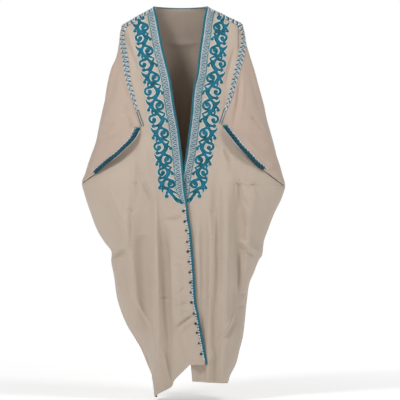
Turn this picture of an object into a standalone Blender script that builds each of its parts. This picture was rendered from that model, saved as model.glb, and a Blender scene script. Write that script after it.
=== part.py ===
"""A bisht: a loose, open-fronted cloak, worn over sloping shoulders with the arms hanging.

Metres, +Z up. The fronts face -Y and the wearer's right side lies at -X. The origin is where
the cloak is carried: at the base of the neck, level with the neck ends of the shoulder seams.

The cloth is built from stations, one ring for each height, from the shoulder seams to the hem.
A ring runs from the middle of the front (turn 0) round the side fold (turn 90) to the middle
of the back (turn 180), on the right (-) and on the left (+).
Sizes in the tables are millimetres, and drops are measured down from the origin.
"""

import math

import bmesh
import bpy
import numpy as np
from mathutils import Vector
from mathutils.bvhtree import BVHTree

MM = 0.001
RIGHT, LEFT = -1, 1
SIDE_NAMES = {RIGHT: "right", LEFT: "left"}

# Cloth and trim
WALL = 1.5
SEAM_GAP = 0.5
SHOULDER_GAP = 3.6
SHOULDER_GAP_END = 60.0
LAY_GAP = 0.35
CORD_WIDTH = 9.0
CORD_HEIGHT = 2.6
BAND_START = 10.0
BAND_WIDTH = 24.0
BAND_HEIGHT = 1.2
BRAID_HALF_WIDTH = 10.0
BRAID_HEIGHT = 1.6
BRAID_GAP = 0.8
CUFF_WIDTH = 23.0
CUFF_HEIGHT = 1.8

# Samples
RING_SAMPLES = 361
FRONT_COLUMNS = 14
BACK_COLUMNS = 20
NECK_CORNER = 0.45

# Heights at which the cloth has a ring, as drops of the right side fold
STATIONS = (
    70, 76, 77, 84, 96, 112, 132, 160, 195, 235, 275, 315, 355, 398, 440, 462, 490, 520, 550, 580,
    602, 620, 640, 675, 720, 765, 810, 852, 890, 930, 975, 1025, 1080, 1135, 1190, 1245, 1300,
    1355, 1411,
)
TOP = STATIONS[0]
BRAID_END = 440
CUFF_END = 602

# One row for each main level. side_right, side_left: drop of the side folds. middle: drop of
# the front's middle, where the shoulder line would meet it at the top. nape: drop of the
# back's middle. centre: sideways shift. chest, side_y, nape_y: places from front to back.
LEVEL_COLUMNS = (
    "station", "side_right", "side_left", "middle_right", "middle_left", "nape",
    "centre", "chest", "side_y", "nape_y",
)
LEVELS = (
    (70, 70, 64, -58, -40, 2, 0, 0, -10, 62),
    (100, 100, 95, 0, 4, 40, 0, -42, -8, 84),
    (125, 125, 120, 50, 52, 72, 0, -66, -8, 97),
    (155, 155, 150, 105, 106, 110, 0, -90, -8, 109),
    (190, 190, 186, 160, 160, 152, 0, -111, -8, 120),
    (230, 230, 226, 215, 215, 199, 0, -127, -9, 129),
    (310, 310, 306, 305, 305, 292, 0, -146, -12, 138),
    (440, 440, 432, 440, 432, 432, 0, -157, -16, 142),
    (602, 602, 588, 602, 590, 602, 0, -162, -24, 141),
    (640, 640, 652, 640, 640, 637, 0, -162, -26, 140),
    (890, 890, 897, 868, 888, 860, 5, -158, -8, 140),
    (1175, 1175, 1150, 1105, 1140, 1090, 15, -154, -4, 148),
    (1411, 1411, 1358, 1287, 1346, 1290, 25, -156, -28, 158),
)

# Half width of the outline at a drop of the side fold
OUTLINES = {
    RIGHT: (
        (64, 222), (100, 229), (140, 231), (184, 239), (227, 256), (292, 274), (356, 288),
        (421, 302), (486, 313), (551, 335), (602, 351), (640, 365), (680, 356), (745, 335),
        (810, 310), (853, 284), (890, 257), (918, 259), (983, 248), (1048, 239), (1112, 220),
        (1156, 202), (1199, 176), (1242, 151), (1285, 133), (1328, 115), (1372, 97), (1411, 93),
    ),
    LEFT: (
        (64, 216), (100, 224), (140, 231), (184, 241), (227, 256), (292, 274), (356, 292),
        (421, 306), (486, 324), (551, 342), (600, 357), (652, 368), (690, 357), (745, 331),
        (810, 306), (853, 292), (897, 287), (918, 274), (961, 256), (1004, 238), (1048, 230),
        (1112, 225), (1199, 216), (1242, 205), (1285, 194), (1328, 173), (1358, 156),
    ),
}

# Sideways place of each front edge at a drop: the V of the neck, then the lap
FRONT_EDGES = {
    RIGHT: (
        (0, -101), (86, -84), (144, -73), (202, -60), (270, -43), (367, -29), (450, -14),
        (558, -1), (623, 5), (673, 10), (720, 18), (774, 24), (810, 30), (900, 37), (961, 42),
        (1062, 48), (1109, 57), (1206, 72), (1275, 83),
    ),
    LEFT: (
        (0, 83), (54, 73), (97, 68), (166, 58), (245, 50), (306, 36), (382, 30), (450, 22),
        (544, 9), (590, 0), (650, -8), (774, -12), (960, 2), (1150, 16), (1346, 34),
    ),
}

# Distance from the middle of the line where the back meets the front, at a drop: the arm
# seam down to the cuff's corner, the back edge of the arm slit, then the crease below it
SIDE_LINES = {
    RIGHT: (
        (70, 222), (97, 228), (120, 226), (144, 222), (198, 213), (234, 209), (270, 203), (306, 193),
        (342, 182), (378, 171), (414, 159), (440, 151), (462, 158), (481, 168), (510, 195),
        (542, 230), (565, 262), (602, 308), (640, 365),
    ),
    LEFT: (
        (64, 216), (97, 223), (120, 224), (144, 222), (198, 212), (234, 202), (270, 193), (306, 184),
        (353, 170), (385, 157), (414, 148), (432, 141), (452, 151), (473, 166), (509, 194),
        (542, 227), (575, 262), (588, 281), (652, 368),
    ),
}

# The arm slit: how far each of its edges stands off the ring, and how far the front reaches
# in behind the back's edge (below zero it stops short, as at a seam)
SLIT = (
    (440, 0.0, -0.5), (462, 6.0, 2.0), (490, 12.0, 18.0), (520, 14.0, 24.0), (550, 12.0, 24.0),
    (580, 7.0, 16.0), (602, 3.0, 3.0), (620, 2.4, -3.0), (640, 0.6, -3.0), (675, 0.0, -0.25),
)
SLIT_FADE = 85.0

# The lap: how far the right front stands before the left one, and where it starts
LAP_STAND = 6.0
LAP_START, LAP_FULL, LAP_FADE = 500.0, 590.0, 190.0

# The largest folds. Each runs from top to bottom, a ridge where its depth is above zero
FOLDS = (
    ("front_right", -196, 130, -140, 420, 20, -8, -5),
    ("front_right", -97, 640, -84, 1500, 24, 8, 16),
    ("front_right", -74, 730, -46, 1500, 17, -15, -22),
    ("front_right", -30, 800, -10, 1500, 22, 5, 8),
    ("front_right", -165, 730, -120, 1230, 22, -10, -10),
    ("front_right", -205, 660, -160, 1130, 24, 8, 8),
    ("front_right", -238, 690, -205, 1060, 20, -8, -6),
    ("front_left", 198, 130, 150, 420, 20, -8, -5),
    ("front_left", 72, 730, 66, 1500, 15, -8, -10),
    ("front_left", 97, 640, 92, 1500, 18, 7, 10),
    ("front_left", 119, 560, 116, 1500, 16, -10, -14),
    ("front_left", 152, 620, 142, 1500, 20, 8, 12),
    ("front_left", 200, 620, 186, 1200, 20, -16, -14),
    ("front_left", 240, 660, 214, 1060, 22, 7, 8),
    ("back", 4, 230, 18, 1500, 30, -10, -20),
    ("back", -52, 290, -20, 1500, 24, 8, 18),
    ("back", 46, 260, 54, 1500, 22, 9, 17),
    ("back", -104, 330, -50, 1500, 24, -10, -18),
    ("back", 92, 370, 88, 1500, 24, -8, -19),
    ("back", -154, 420, -76, 1500, 24, 9, 14),
    ("back", 150, 340, 124, 1500, 26, 10, 14),
    ("back", -210, 400, -120, 1330, 26, -9, -12),
    ("back", 208, 470, 162, 1330, 24, -10, -10),
    ("back", -262, 560, -180, 1120, 24, 8, 8),
    ("back", 266, 520, 208, 1160, 24, 7, 9),
)
FOLD_RAMP = 130.0
FOLD_FADE = 45.0

# The braid's back half is narrower where the cloth turns over the shoulder's tip
TIP_TUCK, TIP_END = 3.0, 140.0

# Neck: where each shoulder seam ends, and how fast the back leaves the seam
NECK_HALF_WIDTH = {RIGHT: 101.0, LEFT: 83.0}
NECK_BLEND = 150.0

# The scroll beside each band: drop of each volute's eye, its distance from the front edge,
# and its outer radius
VOLUTES = (
    (78, 54, 14), (118, 76, 15), (166, 55, 16), (214, 81, 16), (264, 56, 17), (314, 82, 17),
    (364, 56, 17), (414, 82, 17), (464, 56, 17), (512, 79, 16), (558, 54, 16), (602, 74, 15),
    (644, 50, 14),
)
RIBBON_WIDTH = 3.8
RIBBON_HEIGHT = 1.2
VOLUTE_TURNS = 0.85
EYE_RADIUS = 5.5
SCROLL_GAP = 0.7
SCROLL_SOFTNESS = 11
SCROLL_STEP = 7

MATERIALS = {
    "wool": ((0.50, 0.385, 0.29, 1.0), 0.9),
    "teal_cord": ((0.012, 0.19, 0.25, 1.0), 0.6),
    "woven_band": ((0.24, 0.36, 0.38, 1.0), 0.45),
    "silver_braid": ((0.36, 0.38, 0.38, 1.0), 0.5),
    "cuff_braid": ((0.008, 0.08, 0.11, 1.0), 0.65),
    "scroll_cord": ((0.02, 0.22, 0.27, 1.0), 0.55),
}


def table_value(rows, column, at):
    """A column of a table at any place along its first column, on a curve with no overshoot."""
    table = np.array([(row[0], row[column]) for row in rows], float)
    place, value = table[:, 0], table[:, 1]
    at = np.clip(np.asarray(at, float), place[0], place[-1])
    step = np.diff(place)
    slope = np.diff(value) / step
    grade = np.zeros(len(place))
    grade[0], grade[-1] = slope[0], slope[-1]
    for i in range(1, len(place) - 1):
        if slope[i - 1] * slope[i] > 0:
            before = 2 * step[i] + step[i - 1]
            after = step[i] + 2 * step[i - 1]
            grade[i] = (before + after) / (before / slope[i - 1] + after / slope[i])
    i = np.clip(np.searchsorted(place, at, side="right") - 1, 0, len(step) - 1)
    t = (at - place[i]) / step[i]
    return (
        value[i] * (1 + 2 * t) * (1 - t) ** 2
        + grade[i] * step[i] * t * (1 - t) ** 2
        + value[i + 1] * t**2 * (3 - 2 * t)
        + grade[i + 1] * step[i] * t**2 * (t - 1)
    )


def level(name, station):
    return float(table_value(LEVELS, LEVEL_COLUMNS.index(name), station))


def side_drop(station, side):
    return level("side_right" if side == RIGHT else "side_left", station)


def ease(t):
    t = np.clip(t, 0.0, 1.0)
    return t * t * (3 - 2 * t)


def ring(station, side, turn):
    """Points of the bare ring on one side, at turns in radians from 0 (front) to pi (back).

    Turns below 0 carry a front past the middle.
    """
    centre, side_y = level("centre", station), level("side_y", station)
    drop = side_drop(station, side)
    middle = level("middle_right" if side == RIGHT else "middle_left", station)
    reach = table_value(OUTLINES[side], 1, drop) - side * centre
    sine, cosine = np.sin(turn), np.cos(turn)
    depth = np.abs(cosine) ** 0.92
    ahead = level("chest", station) - side_y
    behind = level("nape_y", station) - side_y
    nape = level("nape", station)
    points = np.empty(np.shape(turn) + (3,))
    points[..., 0] = centre + side * reach * sine
    points[..., 1] = side_y + np.where(cosine >= 0, ahead, behind) * depth
    points[..., 2] = -np.where(
        cosine >= 0,
        middle + (drop - middle) * np.clip(sine, 0, 1),
        nape + (drop - nape) * np.abs(sine) ** 3,
    )
    return leave_the_neck(points, station, side, turn)


def leave_the_neck(points, station, side, turn):
    """At the top the back's ring runs along the shoulder seam and round the nape."""
    t = (station - TOP) / NECK_BLEND
    behind = turn > math.pi / 2
    if t >= 1 or not behind.any():
        return points
    share = 1 - (1 - t) ** 2.4
    along = (turn[behind] - math.pi / 2) / (math.pi / 2)
    neck, tip = NECK_HALF_WIDTH[side], OUTLINES[side][0][1]
    out = tip + (neck - tip) * np.clip(along / NECK_CORNER, 0, 1)
    bend = np.clip((along - NECK_CORNER) / (1 - NECK_CORNER), 0, 1) * math.pi / 2
    y, z = shoulder_line(side, out)
    nape_y, nape = level("nape_y", TOP), level("nape", TOP)
    path = np.empty_like(points[behind])
    path[:, 0] = side * out * np.cos(bend)
    path[:, 1] = y + (nape_y - y) * np.sin(bend)
    path[:, 2] = z + (-nape - z) * np.sin(bend) ** 2
    tip_y, tip_z = shoulder_line(side, tip)
    drop = side_drop(station, side)
    reach = side * level("centre", station) + table_value(OUTLINES[side], 1, drop)
    here = np.array([side * (reach - tip), level("side_y", station) - tip_y, -drop - tip_z])
    near_tip = np.clip(1 - along / NECK_CORNER, 0, 1)[:, None]
    sunk = np.array([0.0, 0.0, -(station - TOP) * 0.55])
    path += here * near_tip + sunk * (1 - near_tip)
    points[behind] = path * (1 - share) + points[behind] * share
    return points


def shoulder_line(side, out):
    """Depth and height of the shoulder seam at a distance from the middle."""
    drop, side_y = side_drop(TOP, side), level("side_y", TOP)
    middle = level("middle_right" if side == RIGHT else "middle_left", TOP)
    sine = out / OUTLINES[side][0][1]
    depth = np.sqrt(np.clip(1 - sine**2, 0, 1)) ** 0.92
    return side_y + (level("chest", TOP) - side_y) * depth, -(middle + (drop - middle) * sine)


def shoulder_part(station):
    """Half the gap between front and back beside the shoulder seam."""
    return SHOULDER_GAP / 2 * max(0.0, 1 - (station - TOP) / SHOULDER_GAP_END)


def fold_depth(panel, points):
    """How far the panel's cloth stands out of its bare ring at each point."""
    drop = -points[:, 2]
    out = np.zeros(len(points))
    for name, x_top, top, x_bottom, bottom, half_width, depth_top, depth_bottom in FOLDS:
        if name == panel:
            t = np.clip((drop - top) / (bottom - top), 0, 1)
            off = points[:, 0] - (x_top + (x_bottom - x_top) * t)
            window = ease((drop - top) / FOLD_RAMP) * ease((bottom - drop) / FOLD_RAMP)
            depth = depth_top + (depth_bottom - depth_top) * t
            out += depth * window * np.exp(-((off / half_width) ** 2))
    return out


def level_normals(points, side):
    """Level directions out of a ring whose points run from the front to the back."""
    along = np.gradient(points[:, :2], axis=0)
    normal = np.stack([along[:, 1], -along[:, 0], np.zeros(len(along))], axis=-1) * side
    return normal / np.maximum(np.linalg.norm(normal, axis=1, keepdims=True), 1e-9)


def run_of(points):
    steps = np.linalg.norm(np.diff(points, axis=0), axis=1)
    return np.concatenate([[0.0], np.cumsum(steps)])


def sample(points, run, distances):
    return np.stack([np.interp(distances, run, points[:, k]) for k in range(3)], axis=-1)


def crossing(station, side, line, low, high):
    """The turn at which a ring crosses a line, a function from drops to signed x."""
    turns = np.linspace(low, high, 721)
    points = ring(station, side, turns)
    past = (points[:, 0] - line(-points[:, 2])) * side
    hits = np.nonzero(past >= 0)[0]
    if len(hits) == 0:
        return high
    i = hits[0]
    if i == 0:
        return low
    return turns[i - 1] + (turns[i] - turns[i - 1]) * -past[i - 1] / (past[i] - past[i - 1])


def edge_turn(station, side):
    return crossing(
        station, side, lambda drop: table_value(FRONT_EDGES[side], 1, drop), -1.1, math.pi / 2
    )


def side_turn(station, side):
    if side_drop(station, side) >= SIDE_LINES[side][-1][0]:
        return math.pi / 2
    return crossing(
        station, side, lambda drop: side * table_value(SIDE_LINES[side], 1, drop), 0, math.pi / 2
    )


def slit_value(column, station):
    if not SLIT[0][0] <= station <= SLIT[-1][0]:
        return (0.0, -SEAM_GAP / 2)[column - 1]
    return float(table_value(SLIT, column, station))


def front_row(station, side):
    """One ring of a front: points at set distances from its edge, out to the side line."""
    start, end = edge_turn(station, side), side_turn(station, side)
    turns = np.linspace(start, min(end + 0.5, math.pi / 2 + 0.3), RING_SAMPLES)
    points = ring(station, side, turns)
    run = run_of(points)
    length = float(np.interp(end, turns, run))
    to_side = np.clip(length - run, 0, None)
    out = fold_depth("front_" + SIDE_NAMES[side], points) * ease(to_side / FOLD_FADE)
    out -= slit_value(1, station) * ease(1 - to_side / SLIT_FADE)
    lapped = ease((station - LAP_START) / (LAP_FULL - LAP_START)) * ease(1 - run / LAP_FADE)
    out += LAP_STAND * lapped * (1 if side == RIGHT else -1)
    points = points + level_normals(points, side) * out[:, None]
    run = run_of(points)
    length = float(np.interp(end, turns, run)) + slit_value(2, station)
    near = [0.0, CORD_WIDTH, BAND_START, BAND_START + BAND_WIDTH / 2, BAND_START + BAND_WIDTH]
    last = length - seam_strip(station)
    far = np.linspace(near[-1], last, FRONT_COLUMNS - len(near))[1:]
    row = sample(points, run, np.concatenate([near, far, [length]]))
    row[:, 1] -= shoulder_part(station)
    return row


def seam_strip(station):
    """Width of the strip of cloth beside the side line that the braid or the cuff covers."""
    if station <= BRAID_END - 30:
        return BRAID_HALF_WIDTH
    if station >= BRAID_END + 25:
        return CUFF_WIDTH
    share = ease((station - BRAID_END + 30) / 55)
    return float(BRAID_HALF_WIDTH + (CUFF_WIDTH - BRAID_HALF_WIDTH) * share)


def back_row(station, side):
    """One half ring of the back, from the side line to the middle of the back."""
    start = side_turn(station, side)
    turns = np.linspace(start, math.pi, RING_SAMPLES)
    points = ring(station, side, turns)
    run = run_of(points)
    out = fold_depth("back", points) * ease((turns - 1.25) / 0.5) * ease(run / FOLD_FADE)
    out += slit_value(1, station) * ease(1 - run / SLIT_FADE)
    points = points + level_normals(points, side) * out[:, None]
    run = run_of(points)
    first = seam_strip(station) - TIP_TUCK * ease((TIP_END - station) / 60)
    even = np.interp(np.linspace(start, math.pi, BACK_COLUMNS + 1), turns, run)
    corner = round(NECK_CORNER * BACK_COLUMNS)
    near = np.linspace(first, even[corner], corner)
    distances = np.concatenate([[SEAM_GAP / 2], near, even[corner + 1:]])
    row = sample(points, run, distances)
    row[:, 1] += shoulder_part(station) * np.clip((even[-1] - even) / even[4], 0, 1)
    return row


class Panel:
    """A grid of cloth: its rows, its outward normals and a way to look points up on it."""

    def __init__(self, name, rows, flip):
        self.name = name
        self.rows = np.array(rows)
        self.count = self.rows.shape[:2]
        self.points = self.rows.reshape(-1, 3)
        self.faces = grid_faces(self.rows, flip)
        corners = self.points[self.faces]
        faces = np.cross(corners[:, 1] - corners[:, 0], corners[:, 2] - corners[:, 0])
        normals = np.zeros_like(self.points)
        for k in range(3):
            np.add.at(normals, self.faces[:, k], faces)
        normals /= np.linalg.norm(normals, axis=1, keepdims=True)
        self.point_normals = normals
        self.normals = normals.reshape(self.rows.shape)
        self.bare_normals = self.normals.copy()
        self.tree = BVHTree.FromPolygons(self.points.tolist(), self.faces.tolist())

    def seen_from_front(self, x, z):
        """The point and normal of the cloth behind a place in the front view."""
        place, _, index, _ = self.tree.ray_cast(Vector((x, -600, z)), Vector((0, 1, 0)))
        if place is None:
            place, _, index, _ = self.tree.find_nearest(Vector((x, -160, z)))
        a, b, c = self.points[self.faces[index]]
        weights = np.linalg.lstsq(np.stack([a, b, c], axis=1), np.array(place), rcond=None)[0]
        normal = weights @ self.point_normals[self.faces[index]]
        return np.array(place), normal / np.linalg.norm(normal)


    def add(self, material, wall):
        """The panel as a solid of the wall's thickness, from its outer face inwards."""
        rows, columns = self.count
        lean = (self.normals * self.bare_normals).sum(axis=-1, keepdims=True)
        inner = self.rows - self.normals * wall / np.clip(lean, 0.75, 1)
        count = rows * columns
        rim = [j for j in range(columns)] + [(i + 1) * columns - 1 for i in range(1, rows)]
        rim += [count - 1 - j for j in range(1, columns)]
        rim += [i * columns for i in range(rows - 2, 0, -1)]
        faces = [tuple(f) for f in self.faces] + [tuple(f[::-1] + count) for f in self.faces]
        for a, b in zip(rim, rim[1:] + rim[:1]):
            faces += [(a, b, b + count), (a, b + count, a + count)]
        points = np.concatenate([self.points, inner.reshape(-1, 3)])
        add_object(self.name, points, faces, material)


def share_normals(front, back, side, open_rows):
    """Give both cloths one normal along their seam, so that their edges stay parallel."""
    last, first = front.count[1] - 1, 0 if side == LEFT else back.count[1] - 1
    for row in range(front.count[0]):
        if row not in open_rows:
            mean = front.normals[row, last] + back.normals[row, first]
            mean /= np.linalg.norm(mean)
            front.normals[row, last] = mean
            back.normals[row, first] = mean


def grid_faces(grid, flip):
    """Triangles between the rows of a grid, each four-cornered cell cut the short way."""
    rows, columns = grid.shape[:2]
    faces = []
    for i in range(rows - 1):
        for j in range(columns - 1):
            a, b = i * columns + j, i * columns + j + 1
            c, d = a + columns, b + columns
            one_way = np.linalg.norm(grid[i, j + 1] - grid[i + 1, j])
            other_way = np.linalg.norm(grid[i, j] - grid[i + 1, j + 1])
            if one_way <= other_way:
                faces += [(a, c, b), (b, c, d)]
            else:
                faces += [(a, c, d), (a, d, b)]
    faces = np.array(faces)
    return faces[:, ::-1].copy() if flip else faces


def add_object(name, points, faces, material):
    """A named node from millimetre points."""
    mesh = bpy.data.meshes.new(name)
    mesh.from_pydata((np.asarray(points) * MM).tolist(), [], [list(map(int, f)) for f in faces])
    body = bmesh.new()
    body.from_mesh(mesh)
    bmesh.ops.remove_doubles(body, verts=body.verts, dist=0.00002)
    bmesh.ops.recalc_face_normals(body, faces=body.faces)
    body.to_mesh(mesh)
    body.free()
    mesh.shade_smooth()
    obj = bpy.data.objects.new(name, mesh)
    group.objects.link(obj)
    colour, roughness = MATERIALS[material]
    shader = bpy.data.materials.new(name + "_" + material)
    shader.use_nodes = True
    inputs = shader.node_tree.nodes["Principled BSDF"].inputs
    inputs["Base Color"].default_value = colour
    inputs["Roughness"].default_value = roughness
    mesh.materials.append(shader)
    return obj


def add_strip(name, lines, normals, height, material, gap=LAY_GAP):
    """A flat trim: lines of cloth points, side by side, with their normals, moved out."""
    lines, normals = np.array(lines), np.array(normals)
    low = lines + normals * gap
    high = lines + normals * (gap + height)
    section = np.concatenate([low, high[::-1]], axis=0)
    outward = np.concatenate([normals, normals[::-1]], axis=0)
    add_tube(name, section.transpose(1, 0, 2), material, outward.transpose(1, 0, 2))


def add_tube(name, sections, material, outward=None):
    """A closed solid through sections of the same number of points, capped at both ends.

    Each four-cornered face is cut along the diagonal that stands further out.
    """
    count, size = sections.shape[:2]
    points = sections.reshape(-1, 3)
    lift = np.zeros_like(points) if outward is None else outward.reshape(-1, 3)
    faces = []
    for i in range(count - 1):
        for j in range(size):
            a, b = i * size + j, i * size + (j + 1) % size
            c, d = a + size, b + size
            apart = points[a] + points[d] - points[b] - points[c]
            if apart @ (lift[a] + lift[b] + lift[c] + lift[d]) >= 0:
                faces += [(a, b, d), (a, d, c)]
            else:
                faces += [(a, b, c), (b, d, c)]
    half = size // 2
    for start in (0, (count - 1) * size):
        for j in range(half - 1):
            a, b = start + j, start + j + 1
            c, d = start + size - 1 - j, start + size - 2 - j
            faces += [(a, b, d), (a, d, c)]
    return add_object(name, sections.reshape(-1, 3), faces, material)


def column_lines(panel, columns, rows):
    picked = [(panel.rows[rows, c], panel.normals[rows, c]) for c in columns]
    return [p for p, _ in picked], [n for _, n in picked]


def braid_lines(front, back, side, last_row):
    """Four lines for the braid over a shoulder seam and on down the arm seam."""
    back_first = 0 if side == LEFT else back.count[1] - 1
    step = 1 if side == LEFT else -1
    corner = round(NECK_CORNER * BACK_COLUMNS)
    front_last = front.count[1] - 1
    lines = []
    for inset in (1, 0):
        where = [(inset, c) for c in range(2, front_last - inset + 1)]
        where += [(inset, front_last - inset)] * inset * 2
        where += [(r, front_last - inset) for r in range(1 + inset, last_row + 1)]
        lines.append(where)
    for inset in (0, 1):
        where = [(inset, back_first + step * c) for c in range(corner - 1, inset - 1, -1)]
        where += [(inset, back_first + step * inset)] * inset * 2
        where += [(r, back_first + step * inset) for r in range(1 + inset, last_row + 1)]
        lines.append(where)
    out = []
    for k, where in enumerate(lines):
        panel = front if k < 2 else back
        index = np.array(where)
        out.append((panel.rows[index[:, 0], index[:, 1]], panel.normals[index[:, 0], index[:, 1]]))
    shoulder = front.count[1] - 2
    for k in (2, 3):
        out[k] = spread_shoulder(*out[k], corner, shoulder)
    return [points for points, _ in out], [vectors for _, vectors in out]


def spread_shoulder(points, vectors, count, wanted):
    """Resample the shoulder part of a line to the other panel's number of columns."""
    place = np.linspace(0, count - 1, wanted)
    keep = np.arange(count)
    head = np.stack([np.interp(place, keep, points[:count, k]) for k in range(3)], axis=-1)
    turn = np.stack([np.interp(place, keep, vectors[:count, k]) for k in range(3)], axis=-1)
    return np.concatenate([head, points[count:]]), np.concatenate([turn, vectors[count:]])


def volute_path():
    """A running scroll as (distance from the edge, drop): in to each eye and out to the next."""
    path = []
    span = VOLUTE_TURNS * 2 * math.pi
    t = np.linspace(0, 1, 120)
    for i, (drop, away, radius) in enumerate(VOLUTES):
        hand = 1 if i % 2 == 0 else -1
        for start, part in ((-math.pi / 2, t), (math.pi / 2, t[::-1])):
            r = radius + (EYE_RADIUS - radius) * part
            angle = start + hand * span * part
            path.append(np.stack([away + r * np.cos(angle), drop + r * np.sin(angle)], axis=-1))
    path = np.concatenate(path)
    fine = np.arange(0, run_of(path)[-1], 1.0)
    path = np.stack([np.interp(fine, run_of(path), path[:, k]) for k in (0, 1)], axis=-1)
    soft = np.ones(SCROLL_SOFTNESS) / SCROLL_SOFTNESS
    path = np.stack([np.convolve(path[:, k], soft, "valid") for k in (0, 1)], axis=-1)
    return path[::SCROLL_STEP]


def add_scroll(panel, side):
    """A raised cord laid in a running scroll beside the band."""
    path = volute_path()
    x = table_value(FRONT_EDGES[side], 1, path[:, 1]) + side * path[:, 0]
    view = np.stack([x, -path[:, 1]], axis=-1)
    along = np.gradient(view, axis=0)
    along /= np.linalg.norm(along, axis=1, keepdims=True)
    across = np.stack([-along[:, 1], along[:, 0]], axis=-1) * RIBBON_WIDTH / 2
    sections = []
    for place, offset in zip(view, across):
        left, left_normal = panel.seen_from_front(*(place + offset))
        right, right_normal = panel.seen_from_front(*(place - offset))
        top = SCROLL_GAP + RIBBON_HEIGHT
        sections.append([
            left + left_normal * SCROLL_GAP, right + right_normal * SCROLL_GAP,
            right + right_normal * top, left + left_normal * top,
        ])
    add_tube("scroll_" + SIDE_NAMES[side], np.array(sections), "scroll_cord")


def clear_scene():
    for obj in list(bpy.data.objects):
        bpy.data.objects.remove(obj)


clear_scene()
group = bpy.data.collections.new("bisht")
bpy.context.scene.collection.children.link(group)

right_rows = [back_row(s, RIGHT)[::-1] for s in STATIONS]
left_rows = [back_row(s, LEFT) for s in STATIONS]
back = Panel("back", [np.concatenate([l, r[1:]]) for l, r in zip(left_rows, right_rows)], False)
fronts = {}
for side in (RIGHT, LEFT):
    rows = [front_row(s, side) for s in STATIONS]
    fronts[side] = Panel("front_" + SIDE_NAMES[side], rows, side == RIGHT)

neck_columns = slice(
    round(NECK_CORNER * BACK_COLUMNS), back.count[1] - round(NECK_CORNER * BACK_COLUMNS)
)
braid_row = STATIONS.index(BRAID_END)
cuff_row = STATIONS.index(CUFF_END)
for side in (RIGHT, LEFT):
    share_normals(fronts[side], back, side, range(braid_row + 1, cuff_row + 1))
for panel in (back, fronts[RIGHT], fronts[LEFT]):
    panel.add("wool", WALL)

band_row = STATIONS.index(720)
for side in (RIGHT, LEFT):
    name = SIDE_NAMES[side]
    front = fronts[side]
    all_rows = slice(0, len(STATIONS))
    add_strip("edge_cord_" + name, *column_lines(front, (0, 1), all_rows), CORD_HEIGHT, "teal_cord")
    band_rows = slice(2, band_row + 1)
    lines, normals = column_lines(front, (2, 3, 4), band_rows)
    add_strip("front_band_" + name, lines, normals, BAND_HEIGHT, "woven_band")
    lines, normals = braid_lines(front, back, side, braid_row)
    add_strip("seam_braid_" + name, lines, normals, BRAID_HEIGHT, "silver_braid", BRAID_GAP)
    first = 0 if side == LEFT else back.count[1] - 1
    step = 1 if side == LEFT else -1
    cuff_rows = slice(braid_row + 1, cuff_row + 1)
    lines, normals = column_lines(back, (first, first + step), cuff_rows)
    add_strip("cuff_braid_" + name, lines, normals, CUFF_HEIGHT, "cuff_braid")
    add_scroll(front, side)

lines = [back.rows[r, neck_columns] for r in (0, 1)]
normals = [back.normals[r, neck_columns] for r in (0, 1)]
add_strip("neck_binding", lines, normals, CORD_HEIGHT, "teal_cord")
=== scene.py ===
# %% [markdown]
# # A worn bisht, dressed for the camera
# A bisht is a wide cloak of light wool: one back, two fronts, and the trims that are sewn on.
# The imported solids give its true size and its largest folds. This lesson makes finer cloth over
# the same rings, adds the creases, and then builds each trim from the cloth that carries it.
# Lengths in tables are millimetres and drops are measured down from the origin.

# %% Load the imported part
import math

import bpy
import numpy as np
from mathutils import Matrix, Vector, noise
from mathutils.bvhtree import BVHTree


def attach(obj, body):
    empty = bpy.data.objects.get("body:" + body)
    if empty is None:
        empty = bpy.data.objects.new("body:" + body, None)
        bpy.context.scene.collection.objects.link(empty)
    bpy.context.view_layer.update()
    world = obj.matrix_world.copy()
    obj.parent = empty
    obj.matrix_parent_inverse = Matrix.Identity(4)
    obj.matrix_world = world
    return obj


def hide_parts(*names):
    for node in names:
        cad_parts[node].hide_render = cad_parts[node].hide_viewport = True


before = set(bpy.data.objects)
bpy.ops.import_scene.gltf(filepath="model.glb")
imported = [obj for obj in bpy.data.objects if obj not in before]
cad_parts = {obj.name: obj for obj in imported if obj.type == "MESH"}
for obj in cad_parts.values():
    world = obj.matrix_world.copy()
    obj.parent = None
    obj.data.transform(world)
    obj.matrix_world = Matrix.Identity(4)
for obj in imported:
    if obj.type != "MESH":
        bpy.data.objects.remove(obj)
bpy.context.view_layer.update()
MM = 0.001
RIGHT, LEFT = -1, 1
SIDE_NAMES = {RIGHT: "right", LEFT: "left"}


# %% [markdown]
# ## The camera and the light
# The cloak is seen from straight in front, from far away, so that near and far folds keep one
# scale. A long lens does that. A soft lamp high on each side draws the folds, the left one a
# little stronger, a third lights the back, and a bright surround stands for a white studio.

# %% Camera and lamps
FRAME_WIDTH, SENSOR_WIDTH, CAMERA_AWAY = 1.44, 36, 9.0
FRAME_MIDDLE = (0.0612, -0.06, -0.7)
SURROUND = 0.21
# Name, place, height of the point it faces, size and power.
LAMPS = (
    ("key", (-1.7, -2.6, 2.0), -0.65, 0.8, 69),
    ("side", (1.8, -1.9, 2.7), -0.65, 1.0, 50),
    ("back_light", (1.5, 4.0, 1.8), -0.6, 2.6, 60),
)

camera = bpy.data.objects.new("camera", bpy.data.cameras.new("camera"))
camera.data.lens = SENSOR_WIDTH * CAMERA_AWAY / FRAME_WIDTH
camera.data.sensor_width = SENSOR_WIDTH
camera.location = (FRAME_MIDDLE[0], FRAME_MIDDLE[1] - CAMERA_AWAY, FRAME_MIDDLE[2])
camera.rotation_euler = (math.radians(90), 0, 0)
bpy.context.scene.collection.objects.link(camera)
bpy.context.scene.camera = camera

for name, place, target_height, size, power in LAMPS:
    lamp = bpy.data.objects.new(name, bpy.data.lights.new(name, "AREA"))
    lamp.data.size, lamp.data.energy, lamp.location = size, power, place
    facing = Vector((0, 0, target_height)) - Vector(place)
    lamp.rotation_euler = facing.to_track_quat("-Z", "Y").to_euler()
    bpy.context.scene.collection.objects.link(lamp)

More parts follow.
